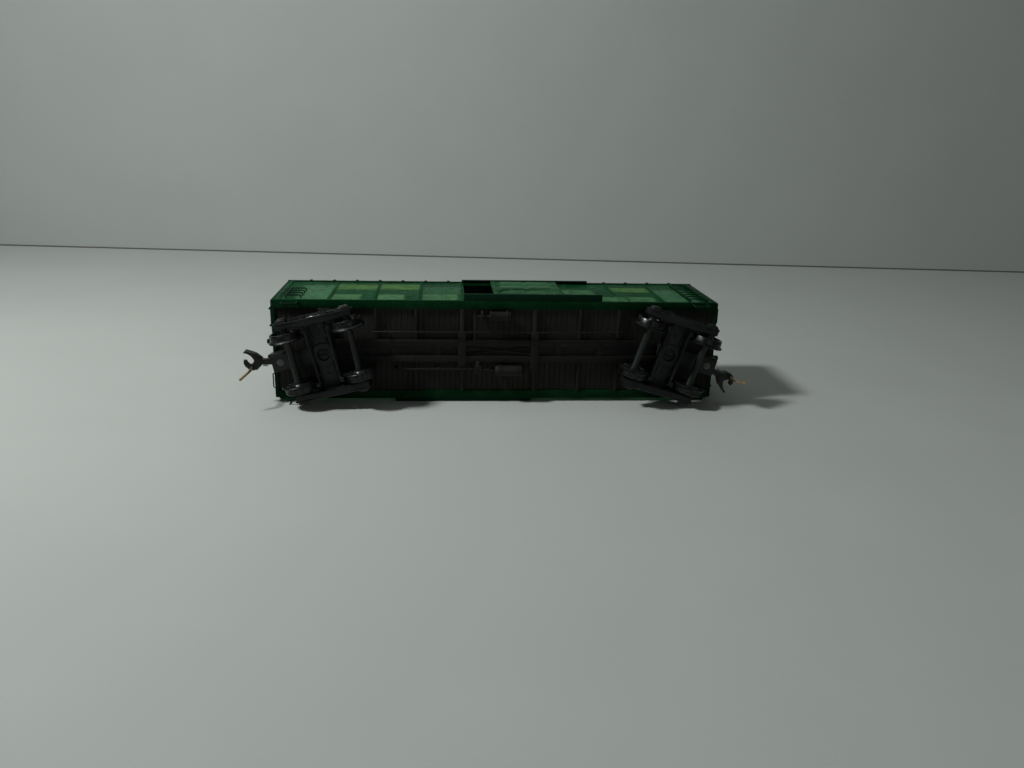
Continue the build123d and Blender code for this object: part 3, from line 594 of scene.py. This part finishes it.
for side, turn in sideTurns.items():
    extras = [settle(detail, turn) for detail in doorDetails(doorSetup, doorSetup["middle"][side])]
    complete(f"door_{side}", f"door.{side}", f"door_{side}", 0.08, extras)
    extras = [settle(detail, turn) for detail in trackDetails(doorSetup, side)]
    complete(f"door_tracks_{side}", f"doorTracks.{side}", None, 0.07, extras)
print("doors")

endSetup = {
    "face": 73.15,
    "sheetX": 72.7,
    "ribPitch": 3.7,
    "firstRib": 16.6,
    "dart": ((0, -0.2), (0.55, -0.2), (0.42, 0.2), (0.2, 0.4), (0, 0.45)),
    "dartY": 11.4,
}


def endDetails(setup):
    out = (1, 0, 0)
    rows = [rivets((setup["face"], -15.4, 12.4), out, (34, (0, 0.933, 0)))]
    for y in (-15.7, 15.7):
        rows.append(rivets((setup["face"], y, 14), out, (31, (0, 0, 0.98))))
    for way in (-1, 1):
        for count in range(8):  # short darts between the long ribs' ends
            z = setup["firstRib"] + (count - 0.5) * setup["ribPitch"]
            dart = lathe(setup["dart"], (0, 0, 0), out, 12)
            dart.data.transform(Matrix.Diagonal((1, 2.6, 1, 1)))
            place = Vector((setup["sheetX"], way * setup["dartY"], z)) * mm
            rows.append(settle(dart, Matrix.Translation(place)))
    rows.append(block((0.3, 6.4, 0.5), (setup["sheetX"] + 0.15, 0, 45.3), 0.08))
    return rows


for end, turn in endTurns.items():
    extras = [settle(detail, turn) for detail in endDetails(endSetup)]
    complete(f"end_wall_{end}", f"endWall.{end}", None, 0.1, extras)
print("body ends")

roofSetup = {
    "panels": 18,
    "length": 146.0,
    "eave": 16.65,
    "ridgeZ": 47.1,
    "slope": 1.9 / 16.3,
    "panelLength": 6.0,
    "panelWidth": 11.6,
    "panelY": 9.3,
    "seamRivets": (4.2, 14.2),
}


def roofDetails(setup):
    pitch = setup["length"] / setup["panels"]
    first = -setup["length"] / 2 + pitch / 2
    lean = math.atan(setup["slope"])
    extras = []
    for way in (-1, 1):
        z = setup["ridgeZ"] - setup["panelY"] * setup["slope"]
        place = Vector((first, way * setup["panelY"], z)) * mm
        turn = Matrix.Translation(place) @ Matrix.Rotation(-way * lean, 4, "X")
        pressing = block((setup["panelLength"], setup["panelWidth"], 0.5), (0, 0, 0), 0.22, 2)
        extras.append(repeat(settle(pressing, turn), (setup["panels"], (pitch, 0, 0))))
        foot = setup["ridgeZ"] - setup["eave"] * setup["slope"]
        seams = (setup["panels"] - 1, (pitch, 0, 0))
        seamX = first + pitch / 2
        cap = block((0.95, 0.5, 1.1), (seamX, way * (setup["eave"] + 0.02), foot - 0.15), 0.12)
        extras.append(repeat(cap, seams))
        for y in setup["seamRivets"]:
            z = setup["ridgeZ"] + 0.4 - y * setup["slope"]
            extras.append(rivets((seamX, way * y, z), up, seams, scale=1.3))
        eaveStart = (first - 3.4, way * setup["eave"], foot - 0.4)
        extras.append(rivets(eaveStart, (0, way, 0), (152, (0.95, 0, 0)), scale=0.8))
    return extras


complete("roof", "roof", None, 0.08, roofDetails(roofSetup))
boardSetup = {"boltYs": (-2.3, -1.4, -0.45, 0.45, 1.4, 2.3), "firstBolt": -64.9, "top": 48.5}
boardBolts = []
for y in boardSetup["boltYs"]:
    start = (boardSetup["firstBolt"], y, boardSetup["top"])
    boardBolts.append(rivets(start, up, (17, (8.111, 0, 0)), scale=0.8))
complete("running_board", "runningBoard", "board", 0.07, boardBolts)
print("roof")

underSetup = {
    "flangeZ": 10.5,
    "flangeRow": 2.95,
    "tiePlateXs": (-46, -34, -20, 20, 34, 46),
    "coverZ": 10.1,
    "bearerX": 12.0,
    "bolsterX": 56.2,
}


def bolsterDetails(setup, x):
    rows = []
    for way in (-1, 1):
        for count in range(5):
            y = 6.2 + 1.5 * count
            z = 10.8 + 0.6 * (y - 5) / 7.4
            rows.append(rivets((x - 1.3, way * y, z), down, (3, (1.3, 0, 0))))
    return rows


complete("car_floor", "carFloor", "floor", 0.06)
sillRows = []
for way in (-1, 1):
    start = (-52.2, way * underSetup["flangeRow"], underSetup["flangeZ"])
    sillRows.append(rivets(start, down, (88, (1.2, 0, 0))))
for x in underSetup["tiePlateXs"]:  # across the channel
    sillRows.append(block((2.2, 3.6, 0.25), (x, 0, 11.3), 0.05))
complete("centre_sill", "centreSill", None, 0.08, sillRows)
coverRows = []
for way in (-1, 1):
    for shift in (-0.95, 0.95):
        x = way * underSetup["bearerX"] + shift
        coverRows.append(rivets((x, -5.6, underSetup["coverZ"]), down, (9, (0, 1.4, 0))))
complete("crossbearers", "crossbearers", None, 0.07, coverRows)
complete("body_bolster_a", "bodyBolster.a", None, 0.1, bolsterDetails(underSetup, -underSetup["bolsterX"]))
complete("body_bolster_b", "bodyBolster.b", None, 0.1, bolsterDetails(underSetup, underSetup["bolsterX"]))
complete("steel_weight", "steelWeight", None, 0.15)
print("underframe")


# flange rings with bolts round both ends of an air vessel
def vesselDetails(node, bands):
    low, high = (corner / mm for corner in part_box(node))
    radius = min(high.y - low.y, (high.z - low.z) * 2) / 2
    y, z = (low.y + high.y) / 2, low.z + radius
    parts = []
    for share in bands:
        x = low.x + (high.x - low.x) * share
        inner, outer = radius * 0.8, radius + 0.22
        ring = ((inner, -0.3), (outer, -0.3), (outer, 0.3), (inner, 0.3), (inner, -0.3))
        parts.append(lathe(ring, (x, y, z), (1, 0, 0), 28))
        for count in range(6):
            angle = math.radians(60 * count + 15)
            place = Vector((x - 0.3, y + radius * math.cos(angle), z + radius * math.sin(angle)))
            parts.append(rod(place, place + Vector((0.6, 0, 0)), 0.2, 6, 0.03))
    return parts


complete("brake_cylinder", "brakeCylinder", None, 0.12, vesselDetails("brake_cylinder", (0.12, 0.86)))
complete("air_reservoir", "airReservoir", None, 0.12, vesselDetails("air_reservoir", (0.2, 0.8)))
valveLow, valveHigh = (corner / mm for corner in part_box("control_valve"))
valveMid = (valveLow + valveHigh) / 2
valveParts = [bolt((valveMid.x + shift, valveMid.y, valveLow.z), down, 0.35, 0.3) for shift in (-0.7, 0.7)]
valveCap = ((0, -0.5), (0.9, -0.5), (0.9, 0.2), (0.6, 0.45), (0, 0.5))
valveParts.append(lathe(valveCap, (valveMid.x, valveLow.y, valveMid.z), outward, 20))
complete("control_valve", "controlValve", None, 0.15, valveParts)
complete("air_pipes", "airPipes", None, 0.04)
complete("brake_rods", "brakeRods", None, 0.05)
print("air brake gear")

truckSetup = {
    "axleX": 9.9,
    "frameFace": 13.0,
    "boxFace": 13.9,
    "bolsterLow": 5.8,
    "springX": 1.5,
    "springY": 12.1,
    "springLow": 4.1,
    "springHigh": 6.2,
    "beamX": 3.4,
    "beamZ": 4.4,
}


def truckTurn(spot):  # from the truck's own frame to the car's
    across = Vector(joints[f"wheelset_{spot}_outer_spin"]["axis"])
    place = joints[f"truck_{spot}_swivel"]["pos_m"]
    turn = Matrix(((across.y, across.x, 0), (-across.x, across.y, 0), (0, 0, 1))).to_4x4()
    return Matrix.Translation((place[0], place[1], 0)) @ turn


def couplerTurn(spot):
    pivot = Vector(joints[f"coupler_{spot}_swing"]["pos_m"])
    knuckle = Vector(joints[f"knuckle_{spot}_swing"]["pos_m"])
    lean = math.atan2(knuckle.y - pivot.y, knuckle.x - pivot.x) - math.atan2(-1.8, 9.2)
    return Matrix.Translation((pivot.x, pivot.y, 0)) @ Matrix.Rotation(lean, 4, "Z")


# a wound wire from a circle carried round and up, with its ends ground flat in their seats
def coil(base, height, radius, wire, turns, sides=8, steps=14):
    bpy.ops.mesh.primitive_circle_add(
        vertices=sides, radius=wire * mm, location=(radius * mm, 0, 0), rotation=(math.pi / 2, 0, 0))
    piece = settle(bpy.context.active_object)
    screw = piece.modifiers.new("wind", "SCREW")
    screw.angle = math.tau
    screw.screw_offset = (height - 2 * wire) / turns * mm
    screw.iterations = turns
    screw.steps = screw.render_steps = steps
    applyModifiers(piece)
    bpy.ops.object.mode_set(mode="EDIT")
    bpy.ops.mesh.select_all(action="SELECT")
    bpy.ops.mesh.fill_holes(sides=0)
    bpy.ops.mesh.normals_make_consistent(inside=False)
    bpy.ops.object.mode_set(mode="OBJECT")
    return settle(piece, Matrix.Translation(Vector((base[0], base[1], base[2] + wire)) * mm))


def sideFrameDetails(setup):  # for the frame on the truck's -Y side
    face = -setup["frameFace"]
    lidY = -setup["boxFace"] - 0.05
    parts = []
    for way in (-1, 1):
        x = way * setup["axleX"]
        parts.append(block((2.7, 0.5, 2.6), (x, lidY, 4.75), 0.22, 2))
        knob = ((0, -0.1), (0.75, -0.1), (0.6, 0.12), (0, 0.2))
        parts.append(lathe(knob, (x, lidY - 0.25, 4.6), outward, 18))
        parts.append(rod((x - 1.2, lidY, 6.25), (x + 1.2, lidY, 6.25), 0.3, 12))
        parts.append(bolt((x - way * 2.4, face, 6.9), outward, 0.32))
        parts.append(bolt((x + way * 2.1, face, 3.7), outward, 0.3))
        parts.append(bolt((way * 3.5, face, 8.1), outward, 0.32))
        parts.append(bolt((way * 3.5, face, 3.1), outward, 0.32))
        # flanges of the truss, above and below its openings
        parts.append(rod((way * 11.9, face, 6.55), (way * 4.5, face, 8.55), 0.3, 8))
        parts.append(rod((way * 11.6, face, 3.3), (way * 4.1, face, 2.75), 0.3, 8))
        parts.append(rod((way * 3.3, face, 4.1), (way * 3.3, face, 7.9), 0.28, 8))
    parts.append(rod((-4.5, face, 8.6), (4.5, face, 8.6), 0.3, 8))
    parts.append(rod((-4.1, face, 2.7), (4.1, face, 2.7), 0.3, 8))
    return parts


def onRightSide(node, spot):  # of its truck, the -Y one
    low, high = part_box(node)
    return (truckTurn(spot).inverted() @ ((low + high) / 2)).y < 0


def truckPieces(spot, setup):
    turn = truckTurn(spot)
    for side in ("near", "far"):
        node = f"side_frame_{spot}_{side}"
        face = turn if onRightSide(node, spot) else turn @ halfTurn
        parts = [settle(part, face) for part in sideFrameDetails(setup)]
        complete(node, f"sideFrame.{spot}.{side}", None, 0.12, parts)

    under = setup["bolsterLow"]
    ring = ((2.1, -0.3), (4.0, -0.3), (4.0, 0.1), (3.6, 0.32), (2.1, 0.32), (2.1, -0.3))
    sidePad = ((0, -0.2), (1.1, -0.2), (1.1, 0.2), (0.9, 0.4), (0, 0.4))
    parts = [lathe(ring, (0, 0, under), down, 40)]
    for way in (-1, 1):
        parts.append(block((0.5, 13.6, 0.5), (way * 2.1, 0, under - 0.05), 0.1))
        parts.append(lathe(sidePad, (0, way * 7.6, 8.4), up, 24))
        parts.append(rivets((-1.2, way * 8.8, under), down, (3, (1.2, 0, 0)), scale=1.4))
        parts.append(bolt((0, way * 6.4, under), down, 0.42, 0.32))
    complete(f"truck_bolster_{spot}", f"truckBolster.{spot}", None, 0.14, [settle(part, turn) for part in parts])

    low, height = setup["springLow"], setup["springHigh"] - setup["springLow"]
    spring = coil((0, 0, low), height, 0.66, 0.2, 4)
    parts = []
    for way in (-1, 1):
        for x in (-setup["springX"], setup["springX"]):
            parts.append(copyOf(spring, shift=(x, way * setup["springY"], 0)))
        for z in (low - 0.1, low + height + 0.1):
            parts.append(block((4.9, 1.5, 0.3), (0, way * setup["springY"], z), 0.08))
    bpy.data.objects.remove(spring)
    parts = [settle(part, turn) for part in parts]
    assembled(f"truck_springs_{spot}", f"truckSprings.{spot}", "bright_steel", parts)

    beamX, beamZ = setup["beamX"], setup["beamZ"]
    parts = []
    for way in (-1, 1):
        for side in (-1, 1):
            parts.append(rod((way * 2.7, side * 6.0, 5.2), (way * 2.7, side * 6.0, 5.75), 0.3, 10))
            parts.append(bolt((way * beamX, side * 8.2, beamZ), down, 0.28, 0.25))
        for end in (-8.6, 8.6):
            parts.append(rod((way * beamX, end, beamZ), (way * beamX, 0, beamZ - 0.25), 0.22, 8))
    complete(f"brake_beams_{spot}", f"brakeBeams.{spot}", None, 0.1, [settle(part, turn) for part in parts])

    pocket = [rivets((11.2, -2.6, 8.3), down, (4, (1.7, 0, 0)), (2, (0, 5.2, 0)), scale=1.2)]
    pocket += coat("glint", bolt((14.4, 0, 7.62), down, 0.75, 0.4))
    complete(f"coupler_box_{spot}", f"couplerBox.{spot}", None, 0.1, [settle(part, turn) for part in pocket])
    lid = rivets((11.4, -2.4, 11.1), up, (4, (1.7, 0, 0)), (2, (0, 4.8, 0)), scale=1.2)
    complete(f"coupler_cover_{spot}", f"couplerCover.{spot}", None, 0.08, [settle(lid, turn)])


wheelSetup = {
    "axleX": 9.9,
    "axleZ": 4.81,
    # radius and distance from the car's centre line, round the section of one wheel
    "section": (
        (1.2, 7.2), (2.1, 7.2), (2.5, 7.55), (4.1, 7.5), (4.4, 7.2), (5.38, 7.2), (5.5, 7.34),
        (5.5, 7.6), (5.2, 7.86), (4.88, 8.04), (4.74, 9.86), (4.62, 10.0), (4.06, 10.0),
        (3.9, 9.2), (3.6, 8.9), (2.5, 8.8), (2.2, 9.0), (1.9, 9.9), (1.2, 9.9), (1.2, 7.2),
    ),
    "axle": (
        (0, -13), (0.15, -13), (1.2, -10.6), (1.2, -6.4), (1.08, -5.9),
        (1.08, 5.9), (1.2, 6.4), (1.2, 10.6), (0.15, 13), (0, 13),
    ),
    "ribs": 9,
}


def wheelsetPieces(spot, place, setup):
    joint = joints[f"wheelset_{spot}_{place}_spin"]
    way = 1 if place == "outer" else -1
    middle = Vector((way * setup["axleX"], 0, setup["axleZ"])) * mm
    turn = truckTurn(spot) @ Matrix.Translation(middle)
    finish = f"wheel_{spot}_{place}"
    finishes[finish] = wheelPaint(f"wheel.{spot}.{place}", joint["pos_m"], joint["axis"])
    wheel = lathe(setup["section"], (0, 0, 0), (0, 1, 0), 56)
    rib = block((0.3, 0.55, 1.7), (0, 7.5, 3.2), 0.08)
    parts = [wheel]
    for count in range(setup["ribs"]):  # on the back of the wheel
        parts.append(copyOf(rib, Matrix.Rotation(math.tau * count / setup["ribs"], 4, "Y")))
    bpy.data.objects.remove(rib)
    select(*parts)
    bpy.ops.object.join()
    pair = [settle(part, turn) for part in (wheel, copyOf(wheel, halfTurn))]
    assembled(f"wheels_{spot}_{place}", f"wheels.{spot}.{place}", finish, pair)
    shaft = lathe(setup["axle"], (0, 0, 0), (0, 1, 0), 28)
    assembled(f"axle_{spot}_{place}", f"axle.{spot}.{place}", "blackened_steel", [settle(shaft, turn)])


def couplerPieces(spot):
    turn = couplerTurn(spot)
    parts = [rivets((9.2, -1.8, 11.3), up, scale=2.2)]
    parts.append(block((1.6, 0.35, 0.9), (4.2, 0.85, 9.45), 0.1))
    complete(f"coupler_{spot}", f"coupler.{spot}", None, 0.14, [settle(part, turn) for part in parts])
    complete(f"knuckle_{spot}", f"knuckle.{spot}", None, 0.14)
    complete(f"trip_pin_{spot}", f"tripPin.{spot}", None, 0)
    wire = coil((0, 0, 0), 1.8, 0.3, 0.09, 5, 6, 12)
    lying = Matrix.Rotation(math.pi / 2, 4, "Y")
    wire.data.transform(Matrix.Translation(Vector((4.2, -1.25, 9.45)) * mm) @ lying)
    assembled(f"knuckle_spring_{spot}", f"knuckleSpring.{spot}", "bright_steel", [settle(wire, turn)])


for spot in ("a", "b"):
    truckPieces(spot, truckSetup)
    for place in ("outer", "inner"):
        wheelsetPieces(spot, place, wheelSetup)
    couplerPieces(spot)
complete("truck_screws", "truckScrews", "recess", 0.12)
print("trucks and couplers")

gearSetup = {"faceX": 73.5, "y": -5.0, "z": 36.4, "wheelX": 76.15, "links": 9, "linkPitch": 0.62}


def housingDetails(setup):
    x, y, z = setup["faceX"] + 1.2, setup["y"], setup["z"]
    parts = [bolt((x, y + dy, z + dz), (1, 0, 0), 0.22, 0.2) for dy in (-1.2, 1.2) for dz in (-1.4, 1.4)]
    link = ((0.2, -0.09), (0.4, -0.09), (0.4, 0.09), (0.2, 0.09), (0.2, -0.09))
    for count in range(setup["links"]):  # of the chain under the housing, each turned from the last
        place = (setup["faceX"] + 0.6, y + 1.2, z - 2.4 - setup["linkPitch"] * count)
        parts.append(lathe(link, place, (1, 0, 0) if count % 2 else (0, 1, 0), 10))
    return parts


complete("brake_housing", "brakeHousing", None, 0.1, housingDetails(gearSetup))
hub = (gearSetup["wheelX"], gearSetup["y"], gearSetup["z"])
complete("brake_wheel", "brakeWheel", None, 0.06, [rivets(hub, (1, 0, 0), scale=1.6)])
stepBolts = rivets((74.2, -8.0, 29.6), up, (2, (1.2, 0, 0)), (5, (0, 1.5, 0)), scale=0.8)
complete("brake_step", "brakeStep", "board", 0.06, [stepBolts])


ladderSetup = {
    "x": 66.905,
    "y": 10.2,
    "width": 5.6,
    "sideFace": 17.2,
    "endFace": 74.2,
    "firstRung": 15.8,
    "rungPitch": 3.9,
    "rungs": 7,
}
grabSetup = {
    "sideX": -66.505,
    "endY": -11.4,
    "width": 4.8,
    "endFace": 72.7,
    "firstBar": 14.75,
    "barPitch": 3.7,
    "bars": 4,
    "collar": 2.1,
}
stepSetup = {"face": 16.1, "boltX": 2.35, "boltZ": 10.9}


# rows of studs on both stiles or feet, at one corner of the car and at its opposite
def cornerStuds(setup, start, facing, across, count, pitch, scale):
    pair = (2, Vector(across) * setup["width"])
    rows = rivets(start, facing, pair, (count, (0, 0, pitch)), scale=scale)
    return [rows, copyOf(rows, halfTurn)]


def ladderDetails(setup, x, y, facing, across):  # a rung's riveted end on each stile
    start = (x, y, setup["firstRung"])
    return cornerStuds(setup, start, facing, across, setup["rungs"], setup["rungPitch"], 0.95)


def collarDetails(setup, x, y, z, pitch, facing, across):  # round the bars' feet
    return cornerStuds(setup, (x, y, z), facing, across, setup["bars"], pitch, setup["collar"])


forward, sideways = (1, 0, 0), (0, 1, 0)
stileX = ladderSetup["x"] - ladderSetup["width"] / 2
stileY = ladderSetup["y"] - ladderSetup["width"] / 2
sideStuds = ladderDetails(ladderSetup, stileX, -ladderSetup["sideFace"], outward, forward)
complete("side_ladders", "sideLadders", None, 0.06, sideStuds)
endStuds = ladderDetails(ladderSetup, ladderSetup["endFace"], stileY, forward, sideways)
complete("end_ladders", "endLadders", None, 0.06, endStuds)
footX = grabSetup["sideX"] - grabSetup["width"] / 2
footY = grabSetup["endY"] - grabSetup["width"] / 2
firstRung, rungPitch = ladderSetup["firstRung"], ladderSetup["rungPitch"]
collars = collarDetails(grabSetup, footX, -sideY, firstRung, rungPitch, outward, forward)
collars += collarDetails(
    grabSetup, grabSetup["endFace"], footY, grabSetup["firstBar"], grabSetup["barPitch"], forward, sideways)
complete("grab_irons", "grabIrons", None, 0, collars)
stepBolts = []
for x in (-ladderSetup["x"], ladderSetup["x"]):
    for way in (-1, 1):
        bolts = (2, (2 * stepSetup["boltX"], 0, 0))
        place = (x - stepSetup["boltX"], way * stepSetup["face"], stepSetup["boltZ"])
        stepBolts.append(rivets(place, (0, way, 0), bolts, scale=0.9))
complete("stirrup_steps", "stirrupSteps", None, 0.06, stepBolts)
print("hand brake, ladders and steps")

cameraSetup = {
    "place": (-18.8, -73.2, -259.9),
    "yaw": 4.99,
    "pitch": 17.30,
    "roll": -1.48,
    "lens": 29.88,  # on a sensor 36 wide
}


def makeCamera(setup):
    bpy.ops.object.camera_add()
    camera = bpy.context.active_object
    yaw, pitch, roll = (math.radians(setup[turn]) for turn in ("yaw", "pitch", "roll"))
    # the car lies on its left side: the camera's up is -Y, and it looks from below the rails
    lying = Matrix(((1, 0, 0), (0, -1, 0), (0, 0, -1)))
    turn = Matrix.Rotation(roll, 3, "Z") @ Matrix.Rotation(pitch, 3, "X") @ Matrix.Rotation(yaw, 3, "Y")
    camera.matrix_world = Matrix.LocRotScale(Vector(setup["place"]) * mm, (turn @ lying).transposed(), None)
    camera.data.sensor_width = 36
    camera.data.lens = setup["lens"]
    camera.data.clip_start = 0.01
    camera.data.clip_end = 20
    bpy.context.scene.camera = camera
    return camera


makeCamera(cameraSetup)

stageSetup = {
    "tone": (0.445, 0.480, 0.452),
    "reach": 900,
    "wallBehind": 318,  # beyond the rail plane, on the roof's side
    "wallTurn": 5.3,
    "cove": 1.3,
    # how dark the cove between floor and wall is painted: painted shade in the crease
    "creasePaintedShade": 0.25,
}


def paperMaterial(name, tone):  # matt pale card, seen from its front only
    paint = Paint(name, 0.85, 0, 0.2)
    shade = paint.ramp(paint.noise(60, 3), 0.3, 0.7)
    colour = paint.mix(shade, tone, shaded(tone, 0.97))
    paint.bump(paint.noise(1.2, 3), 0.02)
    material = paint.finish(colour)
    tree = paint.tree
    output = tree.nodes["Material Output"]
    clear = tree.nodes.new("ShaderNodeBsdfTransparent")
    side = tree.nodes.new("ShaderNodeNewGeometry").outputs["Backfacing"]
    choose = tree.nodes.new("ShaderNodeMixShader")
    tree.links.new(side, choose.inputs[0])
    tree.links.new(paint.shader.outputs[0], choose.inputs[1])
    tree.links.new(clear.outputs[0], choose.inputs[2])
    tree.links.new(choose.outputs[0], output.inputs["Surface"])
    return material


# a floor under the car's left side that curves up into a wall behind its roof
def makeStage(setup):
    floorY = cadBox[1].y
    reach = setup["reach"] * mm
    wallZ = setup["wallBehind"] * mm
    bpy.ops.mesh.primitive_plane_add(
        size=2 * reach, location=(0, floorY, wallZ - reach), rotation=(math.pi / 2, 0, 0))
    card = settle(bpy.context.active_object)
    card.name = "stageCard"
    for vertex in card.data.vertices:
        vertex.select = vertex.co.z > wallZ - 0.001
    for edge in card.data.edges:
        edge.select = all(card.data.vertices[corner].select for corner in edge.vertices)
    for face in card.data.polygons:
        face.select = False
    bpy.ops.object.mode_set(mode="EDIT")
    bpy.ops.mesh.select_mode(type="EDGE")
    bpy.ops.mesh.extrude_region_move(TRANSFORM_OT_translate={"value": (0, -reach, 0)})
    bpy.ops.object.mode_set(mode="OBJECT")
    for edge in card.data.edges:
        ends = [card.data.vertices[corner].co for corner in edge.vertices]
        edge.select = all(end.z > wallZ - 0.001 and end.y > floorY - 0.001 for end in ends)
    for vertex in card.data.vertices:
        vertex.select = vertex.co.z > wallZ - 0.001 and vertex.co.y > floorY - 0.001
    for face in card.data.polygons:
        face.select = False
    bpy.ops.object.mode_set(mode="EDIT")
    bpy.ops.mesh.bevel(offset=setup["cove"] * mm, segments=4)
    bpy.ops.object.mode_set(mode="OBJECT")
    card.data.materials.append(paperMaterial("paleCard", setup["tone"]))
    # a darker card for the cove: painted shade where the floor turns up into the wall
    card.data.materials.append(paperMaterial("cardPaintedCreaseShade", shaded(setup["tone"], setup["creasePaintedShade"])))
    for face in card.data.polygons:  # the cove between floor and wall takes the darker card: painted shade in the crease
        face.material_index = int(0.05 < abs(face.normal.z) < 0.95)
    card.data.transform(Matrix.Rotation(math.radians(setup["wallTurn"]), 4, "Y"))
    bpy.ops.object.shade_smooth_by_angle(angle=math.radians(30))
    card.visible_shadow = False
    return card


makeStage(stageSetup)

lightSetup = {
    "key": {"place": (-340, -390, -68), "size": 75, "power": 2.0},
    "top": {"place": (-80, -650, 240), "size": 600, "power": 0.5},
    "fill": {"place": (250, -300, -700), "size": 500, "power": 0.25},
    "back": {"place": (100, 700, 500), "size": 700, "power": 2.5},
    "sky": 0.05,
}


def makeLight(name, place, size, power):
    bpy.ops.object.light_add(type="AREA", location=Vector(place) * mm)
    light = bpy.context.active_object
    light.name = name
    light.data.shape = "DISK"
    light.data.size = size * mm
    light.data.energy = power
    aim = Vector((0, 0, 20 * mm)) - light.location
    light.rotation_euler = aim.to_track_quat("-Z", "Y").to_euler()
    return light


def makeLights(setup):
    for name in ("key", "top", "fill", "back"):
        makeLight(name, **setup[name])
    world = bpy.data.worlds.new("sky")
    world.use_nodes = True
    world.node_tree.nodes["Background"].inputs["Color"].default_value = (0.92, 0.98, 0.95, 1)
    world.node_tree.nodes["Background"].inputs["Strength"].default_value = setup["sky"]
    bpy.context.scene.world = world
    bpy.context.scene.view_settings.view_transform = "Standard"


makeLights(lightSetup)
print("camera, stage and lights")
